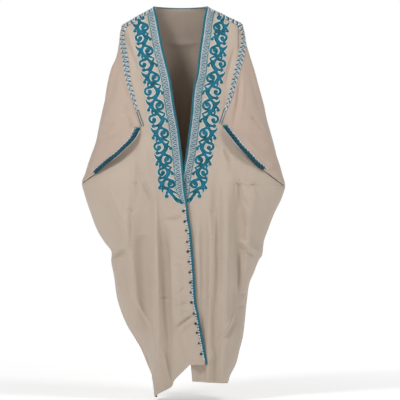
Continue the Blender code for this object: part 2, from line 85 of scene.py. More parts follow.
world = bpy.data.worlds.new("studio")
world.use_nodes = True
sky = world.node_tree.nodes["Background"]
sky.inputs["Color"].default_value = (1, 1, 1, 1)
seen = world.node_tree.nodes.new("ShaderNodeLightPath").outputs["Is Camera Ray"]
strength = world.node_tree.nodes.new("ShaderNodeMapRange")
strength.inputs["To Min"].default_value = SURROUND
world.node_tree.links.new(seen, strength.inputs["Value"])
world.node_tree.links.new(strength.outputs[0], sky.inputs["Strength"])
bpy.context.scene.world = world
bpy.context.scene.view_settings.view_transform = "Standard"
print("camera lens", round(camera.data.lens), "mm,", len(LAMPS), "lamps")

# %% [markdown]
# ## The rings of the cloth
# Each height of the cloak is one ring, from the middle of the front round the side fold to the
# middle of the back. Short tables give the ring's size at a few heights and smooth curves join
# them. This is how the solids were made too, so the finer cloth lies on them.

# %% Tables of the form
TOP, BRAID_END, CUFF_END, BOTTOM = 70, 440, 602, 1411
SHOULDER_GAP, SHOULDER_GAP_END, SEAM_GAP = 1.2, 60.0, 0.3
CUFF_WIDTH, BRAID_HALF_WIDTH = 23.0, 10.0
LEVEL_COLUMNS = (
    "station", "side_right", "side_left", "middle_right", "middle_left", "nape",
    "centre", "chest", "side_y", "nape_y",
)
LEVELS = (
    (70, 70, 64, -58, -40, 2, 0, 0, -10, 62),
    (100, 100, 95, 0, 4, 40, 0, -42, -8, 84),
    (125, 125, 120, 50, 52, 72, 0, -66, -8, 97),
    (155, 155, 150, 105, 106, 110, 0, -90, -8, 109),
    (190, 190, 186, 160, 160, 152, 0, -111, -8, 120),
    (230, 230, 226, 215, 215, 199, 0, -127, -9, 129),
    (310, 310, 306, 305, 305, 292, 0, -146, -12, 138),
    (440, 440, 432, 440, 432, 432, 0, -157, -16, 142),
    (602, 602, 588, 602, 590, 602, 0, -162, -24, 141),
    (640, 640, 652, 640, 640, 637, 0, -162, -26, 140),
    (890, 890, 897, 868, 888, 860, 5, -158, -8, 140),
    (1175, 1175, 1150, 1105, 1140, 1090, 15, -154, -4, 148),
    (1411, 1411, 1358, 1287, 1346, 1290, 25, -156, -28, 158),
)
# Drop and reach of the cloak's outline on each side.
OUTLINES = {
    RIGHT: (
        (64, 222), (100, 229), (140, 231), (184, 239), (227, 256), (292, 274), (356, 288),
        (421, 302), (486, 313), (551, 335), (602, 351), (640, 365), (680, 356), (745, 335),
        (810, 310), (853, 284), (890, 257), (918, 259), (983, 248), (1048, 239), (1112, 220),
        (1156, 202), (1199, 176), (1242, 151), (1285, 133), (1328, 115), (1372, 97), (1411, 93),
    ),
    LEFT: (
        (64, 216), (100, 224), (140, 231), (184, 241), (227, 256), (292, 274), (356, 292),
        (421, 306), (486, 324), (551, 342), (600, 357), (652, 368), (690, 357), (745, 331),
        (810, 306), (853, 292), (897, 287), (918, 274), (961, 256), (1004, 238), (1048, 230),
        (1112, 225), (1199, 216), (1242, 205), (1285, 194), (1328, 173), (1358, 156),
    ),
}
# Drop and x of each front edge, then drop and distance of each side line, as seen from the front.
FRONT_EDGES = {
    RIGHT: (
        (0, -101), (86, -84), (144, -73), (202, -60), (270, -43), (367, -29), (450, -14),
        (558, -1), (623, 5), (673, 10), (720, 18), (774, 24), (810, 30), (900, 37), (961, 42),
        (1062, 48), (1109, 57), (1206, 72), (1275, 83),
    ),
    LEFT: (
        (0, 83), (54, 73), (97, 68), (166, 58), (245, 50), (306, 36), (382, 30), (450, 22),
        (544, 9), (590, 0), (650, -8), (774, -12), (960, 2), (1150, 16), (1346, 34),
    ),
}
SIDE_LINES = {
    RIGHT: (
        (70, 222), (97, 228), (120, 226), (144, 222), (198, 213), (234, 209), (270, 203),
        (306, 193), (342, 182), (378, 171), (414, 159), (440, 151), (462, 158), (481, 168),
        (510, 195), (542, 230), (565, 262), (602, 308), (640, 365),
    ),
    LEFT: (
        (64, 216), (97, 223), (120, 224), (144, 222), (198, 212), (234, 202), (270, 193),
        (306, 184), (353, 170), (385, 157), (414, 148), (432, 141), (452, 151), (473, 166),
        (509, 194), (542, 227), (575, 262), (588, 281), (652, 368),
    ),
}
# Station, how far each lip of the arm slit stands off, and how far the front reaches past its line.
SLIT = (
    (440, 0.0, -0.5), (462, 6.0, 2.0), (490, 12.0, 18.0), (520, 14.0, 24.0), (550, 12.0, 24.0),
    (580, 7.0, 16.0), (602, 3.0, 3.0), (620, 2.4, -3.0), (640, 0.6, -3.0), (675, 0.0, -0.25),
)
SLIT_FADE = 85.0
LAP_STAND, LAP_START, LAP_FULL, LAP_FADE = 6.0, 500.0, 590.0, 190.0
NECK_CORNER, NECK_BLEND = 0.45, 150.0
NECK_HALF_WIDTH = {RIGHT: 101.0, LEFT: 83.0}
# Panel, x and drop of the top and of the foot, half width, and depth at top and foot.
FOLDS = (
    ("front_right", -196, 130, -140, 420, 20, -8, -5),
    ("front_right", -97, 640, -84, 1500, 24, 8, 16),
    ("front_right", -74, 730, -46, 1500, 17, -15, -22),
    ("front_right", -30, 800, -10, 1500, 22, 5, 8),
    ("front_right", -165, 730, -120, 1230, 22, -10, -10),
    ("front_right", -205, 660, -160, 1130, 24, 8, 8),
    ("front_right", -238, 690, -205, 1060, 20, -8, -6),
    ("front_left", 198, 130, 150, 420, 20, -8, -5),
    ("front_left", 72, 730, 66, 1500, 15, -8, -10),
    ("front_left", 97, 640, 92, 1500, 18, 7, 10),
    ("front_left", 119, 560, 116, 1500, 16, -10, -14),
    ("front_left", 152, 620, 142, 1500, 20, 8, 12),
    ("front_left", 200, 620, 186, 1200, 20, -16, -14),
    ("front_left", 240, 660, 214, 1060, 22, 7, 8),
    ("back", 4, 230, 18, 1500, 30, -10, -20),
    ("back", -52, 290, -20, 1500, 24, 8, 18),
    ("back", 46, 260, 54, 1500, 22, 9, 17),
    ("back", -104, 330, -50, 1500, 24, -10, -18),
    ("back", 92, 370, 88, 1500, 24, -8, -19),
    ("back", -154, 420, -76, 1500, 24, 9, 14),
    ("back", 150, 340, 124, 1500, 26, 10, 14),
    ("back", -210, 400, -120, 1330, 26, -9, -12),
    ("back", 208, 470, 162, 1330, 24, -10, -10),
    ("back", -262, 560, -180, 1120, 24, 8, 8),
    ("back", 266, 520, 208, 1160, 24, 7, 9),
)
FOLD_RAMP, FOLD_FADE = 130.0, 45.0


def table_value(rows, column, at):
    """A column of a table at any place along its first column, on a curve with no overshoot."""
    table = np.array([(row[0], row[column]) for row in rows], float)
    place, value = table[:, 0], table[:, 1]
    at = np.clip(np.asarray(at, float), place[0], place[-1])
    step = np.diff(place)
    slope = np.diff(value) / step
    grade = np.zeros(len(place))
    grade[0], grade[-1] = slope[0], slope[-1]
    for i in range(1, len(place) - 1):
        if slope[i - 1] * slope[i] > 0:
            before = 2 * step[i] + step[i - 1]
            after = step[i] + 2 * step[i - 1]
            grade[i] = (before + after) / (before / slope[i - 1] + after / slope[i])
    i = np.clip(np.searchsorted(place, at, side="right") - 1, 0, len(step) - 1)
    t = (at - place[i]) / step[i]
    return (
        value[i] * (1 + 2 * t) * (1 - t) ** 2
        + grade[i] * step[i] * t * (1 - t) ** 2
        + value[i + 1] * t**2 * (3 - 2 * t)
        + grade[i + 1] * step[i] * t**2 * (t - 1)
    )


def ease(t):
    """A share from 0 to 1, with a soft start and a soft end."""
    t = np.clip(t, 0.0, 1.0)
    return t * t * (3 - 2 * t)


print("levels:", len(LEVELS), "large folds:", len(FOLDS))

# %% [markdown]
# ### One bare ring
# A ring is half an oval on each side, a little fuller than an ellipse, and it falls from the
# middle to the side fold. At the top, the back's half bends into the line of the shoulder seam
# and then runs round the nape.

# %% The bare ring at one height
FULL_OVAL, FALL_BEHIND = 0.92, 3
NECK_EASE, NECK_SINK = 2.4, 0.55


def level(name, station):
    """One column of the rings' table, at a station."""
    return float(table_value(LEVELS, LEVEL_COLUMNS.index(name), station))


def side_drop(station, side):
    """How far down a ring's side fold lies."""
    return level("side_" + SIDE_NAMES[side], station)


def shoulder_line(side, out):
    """Depth and height of the shoulder seam at a distance from the middle."""
    drop, side_y = side_drop(TOP, side), level("side_y", TOP)
    middle = level("middle_" + SIDE_NAMES[side], TOP)
    sine = out / OUTLINES[side][0][1]
    depth = np.sqrt(np.clip(1 - sine**2, 0, 1)) ** FULL_OVAL
    return side_y + (level("chest", TOP) - side_y) * depth, -(middle + (drop - middle) * sine)


def ring(station, side, turn):
    """One side of a ring, at turns in radians from 0 (front) to pi (back)."""
    centre, side_y = level("centre", station), level("side_y", station)
    drop, nape = side_drop(station, side), level("nape", station)
    middle = level("middle_" + SIDE_NAMES[side], station)
    reach = table_value(OUTLINES[side], 1, drop) - side * centre
    sine, cosine = np.sin(turn), np.cos(turn)
    far = np.where(cosine >= 0, level("chest", station), level("nape_y", station))
    fall = np.where(
        cosine >= 0,
        middle + (drop - middle) * np.clip(sine, 0, 1),
        nape + (drop - nape) * np.abs(sine) ** FALL_BEHIND,
    )
    points = np.stack([
        centre + side * reach * sine,
        side_y + (far - side_y) * np.abs(cosine) ** FULL_OVAL,
        -fall,
    ], axis=-1)
    return leave_the_neck(points, station, side, turn)


def leave_the_neck(points, station, side, turn):
    """At the top the back's ring runs along the shoulder seam and round the nape."""
    t = (station - TOP) / NECK_BLEND
    behind = turn > math.pi / 2
    if t >= 1 or not behind.any():
        return points
    share = 1 - (1 - t) ** NECK_EASE
    along = (turn[behind] - math.pi / 2) / (math.pi / 2)
    neck, tip = NECK_HALF_WIDTH[side], OUTLINES[side][0][1]
    out = tip + (neck - tip) * np.clip(along / NECK_CORNER, 0, 1)
    bend = np.clip((along - NECK_CORNER) / (1 - NECK_CORNER), 0, 1) * math.pi / 2
    y, z = shoulder_line(side, out)
    nape_y, nape = level("nape_y", TOP), level("nape", TOP)
    path = np.stack([
        side * out * np.cos(bend),
        y + (nape_y - y) * np.sin(bend),
        z + (-nape - z) * np.sin(bend) ** 2,
    ], axis=-1)
    tip_y, tip_z = shoulder_line(side, tip)
    drop = side_drop(station, side)
    reach = side * level("centre", station) + table_value(OUTLINES[side], 1, drop)
    here = np.array([side * (reach - tip), level("side_y", station) - tip_y, -drop - tip_z])
    near_tip = np.clip(1 - along / NECK_CORNER, 0, 1)[:, None]
    sunk = np.array([0.0, 0.0, -(station - TOP) * NECK_SINK])
    path += here * near_tip + sunk * (1 - near_tip)
    points[behind] = path * (1 - share) + points[behind] * share
    return points


waist = ring(CUFF_END, LEFT, np.array([0, math.pi / 2, math.pi]))
print("the left half of the ring at the cuffs:", waist.round().tolist())

# %% [markdown]
# ### Cut lines and large folds
# The front edge and the side line are known as seen from the front. On a ring each is the turn at
# which the ring crosses that line. Between them, large folds push the bare ring in and out along
# soft furrows that widen and deepen towards the hem.

# %% Where the fronts and the back meet
RING_SAMPLES, FIRST_TURN = 721, -1.1


def crossing(station, side, rows, sign, low, high):
    """The turn at which a ring crosses a line, given as rows of a drop and a distance."""
    turns = np.linspace(low, high, RING_SAMPLES)
    points = ring(station, side, turns)
    past = (points[:, 0] - sign * table_value(rows, 1, -points[:, 2])) * side
    hits = np.nonzero(past >= 0)[0]
    if len(hits) == 0 or hits[0] == 0:
        return low if len(hits) else high
    i = hits[0]
    return turns[i - 1] + (turns[i] - turns[i - 1]) * -past[i - 1] / (past[i] - past[i - 1])


def edge_turn(station, side):
    """The turn at which a ring reaches the front edge."""
    return crossing(station, side, FRONT_EDGES[side], 1, FIRST_TURN, math.pi / 2)


def side_turn(station, side):
    """The turn at which a ring reaches its side line, which ends in the side fold."""
    if side_drop(station, side) >= SIDE_LINES[side][-1][0]:
        return math.pi / 2
    return crossing(station, side, SIDE_LINES[side], side, 0, math.pi / 2)


def slit_value(column, station):
    """A column of the slit's table, with the plain seam above and below it."""
    if not SLIT[0][0] <= station <= SLIT[-1][0]:
        return (0.0, -SEAM_GAP / 2)[column - 1]
    return float(table_value(SLIT, column, station))


def fold_depth(panel, points):
    """How far the large folds push each point out of its bare ring."""
    drop = -points[:, 2]
    out = np.zeros(len(points))
    for name, x_top, top, x_bottom, bottom, half_width, depth_top, depth_bottom in FOLDS:
        if name == panel:
            t = np.clip((drop - top) / (bottom - top), 0, 1)
            off = points[:, 0] - (x_top + (x_bottom - x_top) * t)
            window = ease((drop - top) / FOLD_RAMP) * ease((bottom - drop) / FOLD_RAMP)
            depth = depth_top + (depth_bottom - depth_top) * t
            out += depth * window * np.exp(-((off / half_width) ** 2))
    return out


def level_normals(points, side):
    """Level directions out of a ring whose points run from the front to the back."""
    along = np.gradient(points[:, :2], axis=0)
    normal = np.stack([along[:, 1], -along[:, 0], np.zeros(len(along))], axis=-1) * side
    return normal / np.maximum(np.linalg.norm(normal, axis=1, keepdims=True), 1e-9)


def run_of(points):
    """Distance along a line of points, at each point."""
    steps = np.linalg.norm(np.diff(points, axis=0), axis=1)
    return np.concatenate([[0.0], np.cumsum(steps)])


def sample(points, run, distances):
    """Rows of a line at other distances along it."""
    return np.stack([np.interp(distances, run, line) for line in points.T], axis=-1)


print("side lines end at drops", SIDE_LINES[RIGHT][-1][0], "and", SIDE_LINES[LEFT][-1][0])

# %% [markdown]
# ## Fine cloth over the rings
# The three cut pieces are grids with a point about every 5 mm, enough for a crease to bend them
# softly. The columns of a front keep fixed distances from its edge, so that cord, band and scroll
# can later be laid by that distance alone.

# %% Grids of the two fronts and the back
# Distances of a front's first columns from its edge, and how many columns fill each other part.
NEAR_EDGE = (0, 3, 6, 9, 12, 16, 20, 24, 29, 34)
FRONT_FAR, SIDE_STRIP, BACK_FAR, TIP_COLUMNS = 78, 4, 84, 16
STRIP_WIDENS, STRIP_WIDENS_OVER = 30, 55
PAST_LINE, PAST_FOLD = 0.5, 0.3
BACK_FOLDS_FROM, BACK_FOLDS_OVER = 1.25, 0.5
SIDE_CORNER = 640
STATIONS = np.concatenate([
    np.linspace(TOP, BRAID_END, 75)[:-1], np.linspace(BRAID_END, CUFF_END, 34)[:-1],
    np.linspace(CUFF_END, SIDE_CORNER, 9)[:-1], np.linspace(SIDE_CORNER, BOTTOM, 150),
])


def seam_strip(station):
    """Width of the cloth beside the side line that a braid or the cuff covers."""
    share = ease((station - BRAID_END + STRIP_WIDENS) / STRIP_WIDENS_OVER)
    return float(BRAID_HALF_WIDTH + (CUFF_WIDTH - BRAID_HALF_WIDTH) * share)


def shoulder_part(station):
    """How far a panel stands off the shoulder seam, at the rings just below it."""
    return SHOULDER_GAP / 2 * max(0.0, 1 - (station - TOP) / SHOULDER_GAP_END)


def front_row(station, side):
    """One ring of a front: its points and their distances from the front edge."""
    start, end = edge_turn(station, side), side_turn(station, side)
    turns = np.linspace(start, min(end + PAST_LINE, math.pi / 2 + PAST_FOLD), RING_SAMPLES)
    points = ring(station, side, turns)
    run = run_of(points)
    to_side = np.clip(float(np.interp(end, turns, run)) - run, 0, None)
    out = fold_depth("front_" + SIDE_NAMES[side], points) * ease(to_side / FOLD_FADE)
    out -= slit_value(1, station) * ease(1 - to_side / SLIT_FADE)
    lapped = ease((station - LAP_START) / (LAP_FULL - LAP_START)) * ease(1 - run / LAP_FADE)
    out += LAP_STAND * lapped * (1 if side == RIGHT else -1)
    points = points + level_normals(points, side) * out[:, None]
    run = run_of(points)
    length = float(np.interp(end, turns, run)) + slit_value(2, station)
    last = length - seam_strip(station)
    far = np.linspace(NEAR_EDGE[-1], last, FRONT_FAR + 1)[1:]
    strip = np.linspace(last, length, SIDE_STRIP + 1)[1:]
    distances = np.concatenate([NEAR_EDGE, far, strip])
    row = sample(points, run, distances)
    row[:, 1] -= shoulder_part(station)
    return row, distances, np.interp(distances, run, turns)


def back_row(station, side):
    """Half a ring of the back: its points and their distances from the side line."""
    start = side_turn(station, side)
    turns = np.linspace(start, math.pi, RING_SAMPLES)
    points = ring(station, side, turns)
    run = run_of(points)
    behind = ease((turns - BACK_FOLDS_FROM) / BACK_FOLDS_OVER)
    out = fold_depth("back", points) * behind * ease(run / FOLD_FADE)
    out += slit_value(1, station) * ease(1 - run / SLIT_FADE)
    points = points + level_normals(points, side) * out[:, None]
    run = run_of(points)
    first = seam_strip(station)
    even = np.interp(np.linspace(start, math.pi, BACK_FAR + 1), turns, run)
    corner = round(NECK_CORNER * BACK_FAR)
    strip = np.linspace(SEAM_GAP / 2, first, SIDE_STRIP + 1)[:-1]
    distances = np.concatenate([strip, np.linspace(first, even[corner], corner), even[corner + 1:]])
    row = sample(points, run, distances)
    row[:, 1] += shoulder_part(station) * np.clip(
        (run[-1] - distances) / even[TIP_COLUMNS], 0, 1
    )
    return row, distances, np.interp(distances, run, turns)


class Cloth:
    """One cut piece: a grid of points with the distance, turn and drop that name each of them."""

    def __init__(self, name, halves):
        """Join the rows of each half, which hold points, distances and turns."""
        self.name = name
        joined = [
            [np.concatenate([part[k] for part in parts]) for k in range(3)]
            for parts in zip(*halves)
        ]
        self.points, self.distance, self.turn = (
            np.array([row[k] for row in joined]) for k in range(3)
        )
        self.flip = 1.0
        self.refresh()

    def refresh(self):
        """Work out the outward direction at each point again."""
        across, down = np.gradient(self.points, axis=1), np.gradient(self.points, axis=0)
        normals = np.cross(down, across) * self.flip
        self.normals = normals / np.maximum(np.linalg.norm(normals, axis=2, keepdims=True), 1e-9)


def turned_round(row):
    """The right half of a ring of the back, from its middle to the side line."""
    return tuple(part[::-1][1:] for part in row)


front = {
    side: Cloth("front_" + name, [[front_row(s, side) for s in STATIONS]])
    for side, name in SIDE_NAMES.items()
}
front[RIGHT].flip = -1.0
back = Cloth("back", [
    [back_row(s, LEFT) for s in STATIONS], [turned_round(back_row(s, RIGHT)) for s in STATIONS],
])
PANELS = (back, front[RIGHT], front[LEFT])
for cloth in PANELS:
    cloth.refresh()
    rows, columns = cloth.points.shape[:2]
    normal = cloth.normals[rows // 2, columns // 3].round(2)
    print(cloth.name, rows, "by", columns, "points, a normal:", normal)

# %% [markdown]
# ## Creases
# Worn wool keeps creases where an arm bends it, where it hangs from a point and where it was
# folded for storage. Each one here is a short bent line with a width and a depth that fade out at
# both ends, above zero for a ridge. Their lengths, bends, widths and depths are uneven on purpose.

# %% Table of creases
# For each group: where it lies, then three places (x, drop) that bend each line, its half width
# and its depth.
CREASES = (
    ("front_right", (  # Broad folds of the right front
        (-99, 640, -94, 960, -88, 1300, 11, 8.0), (-82, 660, -80, 800, -79, 940, 6, -3.5),
        (-74, 760, -66, 1000, -46, 1230, 12, -5.6), (-142, 640, -150, 960, -127, 1340, 31, -17.0),
        (-236, 700, -236, 900, -196, 1150, 24, 6.0), (-180, 640, -186, 780, -176, 930, 11, -3.0),
        (-150, 470, -150, 620, -140, 760, 16, 3.2), (-84, 330, -80, 450, -78, 600, 14, 2.4),
        (-20, 900, -14, 1060, 2, 1180, 12, 3.2),
    )),
    ("front_left", (  # Broad folds of the left front
        (62, 720, 52, 900, 66, 1180, 10, 3.0), (104, 760, 98, 900, 110, 1130, 10, 3.4),
        (158, 600, 154, 860, 156, 1180, 16, 5.0), (208, 620, 211, 900, 202, 1240, 20, -9.5),
        (250, 600, 252, 680, 246, 790, 13, 3.0), (128, 560, 134, 760, 130, 1000, 9, -3.0),
        (150, 1120, 140, 1220, 132, 1330, 14, 3.6),
    )),
    ("back", (  # Broad folds of the back
        (-20, 460, -30, 800, -12, 1300, 15, -6.5), (66, 560, 74, 860, 64, 1300, 14, 6.5),
        (-130, 560, -112, 860, -92, 1240, 16, 7.0), (176, 520, 166, 840, 150, 1220, 17, -7.0),
        (-222, 560, -204, 780, -168, 1060, 17, -6.5), (240, 600, 236, 760, 214, 1000, 15, 6.5),
    )),
    ("front_right", (  # Right front, upper part beside the scroll
        (-222, 88, -196, 150, -158, 252, 9, -3.6), (-206, 70, -186, 120, -170, 190, 7, 2.2),
        (-151, 216, -150, 252, -152, 292, 6, -3.6), (-172, 268, -166, 340, -160, 432, 10, 3.0),
        (-146, 300, -140, 380, -136, 470, 7, -2.4),
    )),
    ("front_right", (  # Right front, below the slit
        (-274, 640, -232, 722, -191, 806, 8, 5.5), (-292, 668, -256, 736, -214, 820, 8, -3.0),
        (-187, 650, -184, 780, -190, 905, 4.5, -4.2), (-169, 545, -166, 650, -174, 762, 4.5, -3.8),
        (-178, 560, -176, 700, -181, 830, 4, 2.6), (-206, 738, -188, 734, -166, 743, 4.5, -3.0),
        (-166, 834, -148, 826, -128, 815, 5, 2.8), (-156, 566, -124, 630, -90, 720, 7, 6.0),
        (-165, 596, -136, 655, -101, 716, 5, -3.6), (-118, 500, -112, 590, -100, 690, 8, 4.4),
        (-60, 850, -50, 950, -47, 1085, 5.5, -6.0), (-44, 900, -34, 1000, -30, 1120, 6, 3.2),
        (-66, 768, -34, 774, 4, 761, 5, -4.2), (-60, 756, -34, 757, -2, 748, 5, 2.2),
        (-38, 842, -14, 838, 11, 842, 4.5, -2.0), (-30, 905, -10, 912, 12, 902, 4.5, -1.8),
        (-42, 940, -14, 934, 12, 944, 4.5, -2.0), (-82, 1046, -62, 1052, -40, 1049, 4, -3.0),
        (-28, 1044, -10, 1030, 12, 1008, 4.5, -2.6), (-30, 1076, 0, 1073, 28, 1066, 5, -3.4),
        (-22, 1092, 4, 1090, 30, 1084, 6, 2.6), (50, 1107, 14, 1118, -44, 1178, 5, -6.5),
        (46, 1126, 12, 1140, -30, 1188, 7, 3.4), (-171, 1052, -138, 1120, -88, 1216, 6, 6.5),
        (-130, 1150, -112, 1186, -92, 1238, 5, -2.8),
        (-176, 1158, -150, 1165, -116, 1162, 4.5, -2.6), (-74, 1220, -60, 1290, -42, 1356, 5, 3.4),
        (-256, 896, -236, 910, -198, 880, 5.5, -7.0), (-252, 876, -232, 888, -204, 862, 7, 3.8),
        (-240, 930, -226, 1000, -198, 1080, 10, 4.0), (-220, 930, -205, 1010, -180, 1100, 9, -3.6),
        (-14, 1180, 6, 1230, 16, 1290, 9, -3.4), (-40, 560, -34, 640, -38, 730, 10, 2.6),
        (-62, 600, -58, 660, -62, 740, 8, -2.4),
    )),
    ("front_left", (  # Left front, upper part beside the scroll
        (205, 66, 206, 110, 204, 168, 5.5, -4.6), (188, 150, 170, 214, 156, 296, 9, -4.0),
        (192, 190, 184, 250, 164, 330, 8, 3.0), (158, 310, 152, 380, 138, 452, 8, -3.0),
    )),
    ("front_left", (  # Left front, below the slit
        (112, 500, 126, 510, 142, 520, 4.5, -3.2), (150, 518, 162, 540, 177, 572, 7, -7.0),
        (140, 528, 154, 560, 162, 604, 7, 3.4), (234, 652, 246, 644, 264, 622, 5, 3.0),
        (222, 628, 246, 660, 272, 706, 5, 3.0), (184, 590, 187, 640, 186, 700, 4, -3.2),
        (202, 600, 203, 680, 201, 748, 6, -6.0), (214, 690, 224, 712, 238, 734, 5, -3.4),
        (206, 742, 216, 770, 222, 800, 6, -3.6), (230, 730, 236, 760, 230, 800, 6, 2.8),
        (190, 836, 228, 870, 282, 888, 7, 6.5), (196, 858, 230, 892, 268, 906, 7, -5.0),
        (190, 846, 197, 930, 206, 1040, 6.5, -8.0), (204, 880, 208, 950, 214, 1020, 7, 3.0),
        (228, 1040, 218, 1046, 206, 1042, 5, -3.6), (226, 1078, 214, 1084, 204, 1080, 5, -2.6),
        (84, 720, 80, 900, 86, 1190, 8, -4.6), (122, 700, 106, 800, 107, 1090, 4.5, 4.2),
        (47, 720, 50, 880, 58, 1120, 9, 3.4), (92, 728, 100, 744, 118, 750, 5, -2.8),
        (96, 828, 104, 838, 112, 832, 5, 2.4), (84, 1044, 92, 1052, 100, 1040, 5, -2.6),
        (116, 1210, 150, 1168, 186, 1102, 5.5, 5.0), (130, 1222, 164, 1180, 196, 1120, 6, -3.0),
        (100, 1272, 103, 1250, 110, 1226, 5, 4.2), (150, 1220, 170, 1180, 200, 1150, 10, 3.0),
        (78, 1276, 74, 1310, 78, 1350, 4, -3.0), (176, 1010, 190, 1080, 196, 1180, 8, -3.4),
    )),
    ("arm_right", (  # The back's right over-arm part, which shows from the front
        (-236, 424, -262, 436, -292, 458, 6.5, -4.2), (-232, 406, -262, 420, -296, 440, 8, 2.4),
        (-203, 362, -210, 380, -216, 402, 8, -5.0), (-199, 400, -190, 424, -184, 452, 6, -4.6),
        (-186, 396, -176, 424, -166, 448, 6, 2.6), (-300, 524, -254, 508, -200, 470, 13, 4.0),
        (-310, 480, -268, 486, -220, 462, 8, -2.6), (-214, 280, -206, 310, -196, 344, 5, -3.6),
        (-232, 130, -250, 230, -286, 340, 14, 3.6), (-232, 190, -252, 300, -290, 410, 10, -3.2),
        (-244, 330, -276, 380, -302, 470, 9, 2.4), (-336, 560, -322, 588, -306, 604, 8, 3.4),
        (-348, 604, -326, 596, -300, 570, 6, -2.8),
    )),
    ("arm_left", (  # The back's left over-arm part
        (205, 262, 204, 330, 176, 470, 6.5, -6.5), (216, 250, 216, 330, 196, 430, 8, 2.8),
        (208, 376, 228, 392, 250, 406, 6, 3.2), (246, 402, 266, 420, 292, 448, 5.5, -4.4),
        (222, 486, 254, 520, 300, 536, 13, 4.0), (214, 450, 250, 486, 304, 506, 8, -2.8),
        (232, 140, 250, 230, 282, 340, 14, 3.4), (234, 200, 256, 300, 294, 420, 10, -3.0),
        (302, 556, 314, 576, 330, 590, 9, 4.4), (340, 574, 322, 596, 306, 604, 6, -3.2),
    )),
    ("back", (  # The back, out of the photograph's sight
        (-206, 110, -150, 170, -86, 190, 12, -3.4), (198, 112, 150, 176, 84, 200, 12, -3.2),
        (-214, 150, -168, 250, -110, 330, 10, 4.2), (210, 160, 170, 262, 120, 330, 10, 3.8),
        (-60, 120, 0, 138, 66, 118, 9, -2.6), (-226, 250, -236, 360, -210, 520, 9, -5.0),
        (222, 240, 240, 350, 216, 500, 9, -4.6), (-262, 350, -290, 440, -332, 560, 9, 4.2),
        (258, 330, 292, 430, 336, 540, 9, 4.2), (-250, 420, -276, 520, -340, 620, 8, -4.0),
        (256, 440, 280, 540, 344, 636, 8, -4.2), (-344, 650, -290, 700, -236, 800, 9, 5.2),
        (346, 660, 296, 716, 246, 830, 9, 5.0), (-330, 700, -270, 780, -226, 880, 8, -4.2),
        (334, 720, 286, 800, 240, 900, 8, -4.4), (-132, 430, -126, 560, -142, 690, 6, -4.2),
        (118, 400, 124, 520, 112, 660, 6, -4.0), (-20, 300, -26, 430, -18, 560, 7, 3.6),
        (24, 520, 16, 640, 26, 780, 6, -3.8), (-78, 700, -66, 830, -74, 960, 6, 3.8),
        (72, 760, 80, 900, 66, 1040, 6, -4.0), (-170, 600, -130, 612, -94, 600, 6, -3.0),
        (96, 640, 130, 650, 176, 636, 6, -2.8), (-40, 838, -4, 848, 30, 838, 6, -2.6),
        (-190, 900, -150, 960, -128, 1060, 7, 4.4), (196, 880, 170, 960, 160, 1060, 7, 4.0),
        (-150, 1100, -110, 1150, -90, 1240, 6, -4.6), (176, 1090, 136, 1150, 120, 1230, 6, 4.6),
        (-30, 1010, -12, 1100, -22, 1220, 7, -4.0), (46, 1080, 60, 1160, 52, 1270, 6, 3.8),
        (-240, 960, -214, 972, -186, 950, 6, -5.0), (250, 900, 224, 920, 196, 904, 6, -5.4),
        (-112, 1230, -80, 1246, -52, 1232, 5, -2.6), (96, 1180, 120, 1196, 150, 1180, 5, -2.8),
    )),
)
CREASE_GAIN, CREASE_TAPER, CREASE_ROUND, CREASE_REACH = 1.5, 0.7, 1.7, 3
# Height, size and seed of each soft swelling of the cloth.
SWELLS = ((3.4, 95, 3), (1.7, 34, 11))


def bent_line(x0, d0, x1, d1, x2, d2, count=26):
    """Points of a curve that starts and ends at two places and bends towards a third."""
    t = np.linspace(0, 1, count)[:, None]
    start, bend, end = np.array([x0, d0]), np.array([x1, d1]), np.array([x2, d2])
    return start * (1 - t) ** 2 + 2 * bend * t * (1 - t) + end * t**2


def crease_lift(places, row):
    """How far one crease moves each place (x, drop) of the cloth."""
    line = bent_line(*row[:6])
    half_width, depth = row[6], row[7] * CREASE_GAIN
    lift = np.zeros(len(places))
    reach = CREASE_REACH * half_width
    low, high = line.min(axis=0) - reach, line.max(axis=0) + reach
    near = np.nonzero(((places > low) & (places < high)).all(axis=1))[0]
    if len(near) == 0:
        return lift
    here = places[near]
    best, at = np.full(len(near), 1e9), np.zeros(len(near))
    for i in range(len(line) - 1):
        step = line[i + 1] - line[i]
        t = np.clip((here - line[i]) @ step / (step @ step), 0, 1)
        away = np.linalg.norm(here - line[i] - t[:, None] * step, axis=1)
        closer = away < best
        best[closer], at[closer] = away[closer], (i + t[closer]) / (len(line) - 1)
    taper = np.sin(math.pi * np.clip(at, 0, 1)) ** CREASE_TAPER
    lift[near] = depth * taper * np.exp(-(best / half_width) ** CREASE_ROUND)
    return lift


def crumple(cloth, size, seed):
    """A soft uneven swelling of the cloth, the same each time."""
    grid = (cloth.points * (1 / size)).reshape(-1, 3)
    swelling = [noise.noise(Vector((x, y * 0.7, z * 0.45 + seed))) for x, y, z in grid]
    return np.array(swelling).reshape(cloth.points.shape[:2])


def add_creases(cloth, masks, trim_fade):
    """Move the cloth in and out by its creases, with one weight for each name in the table."""
    places = np.stack([cloth.points[..., 0], -cloth.points[..., 2]], axis=-1).reshape(-1, 2)
    lift = np.zeros(cloth.points.shape[:2])
    count = 0
    for part, rows in CREASES:
        if part in masks:
            for row in rows:
                lift += crease_lift(places, row).reshape(lift.shape) * masks[part]
            count += len(rows)
    swell = sum(height * crumple(cloth, size, seed) for height, size, seed in SWELLS)
    cloth.points = cloth.points + cloth.normals * ((lift + swell) * trim_fade)[..., None]
    cloth.refresh()
    deepest, highest = lift.min().round(1), lift.max().round(1)
    print(cloth.name, count, "creases, deepest", deepest, "highest", highest)


# %% Crease the three pieces
FADE_AT_SEAM, FADE_AT_TRIM, FADE_AT_SHOULDER, UNDER_TRIM = 22.0, 26.0, 40, 0.35
SIDE_FOLD, TURN_AWAY = math.pi / 2, 0.22

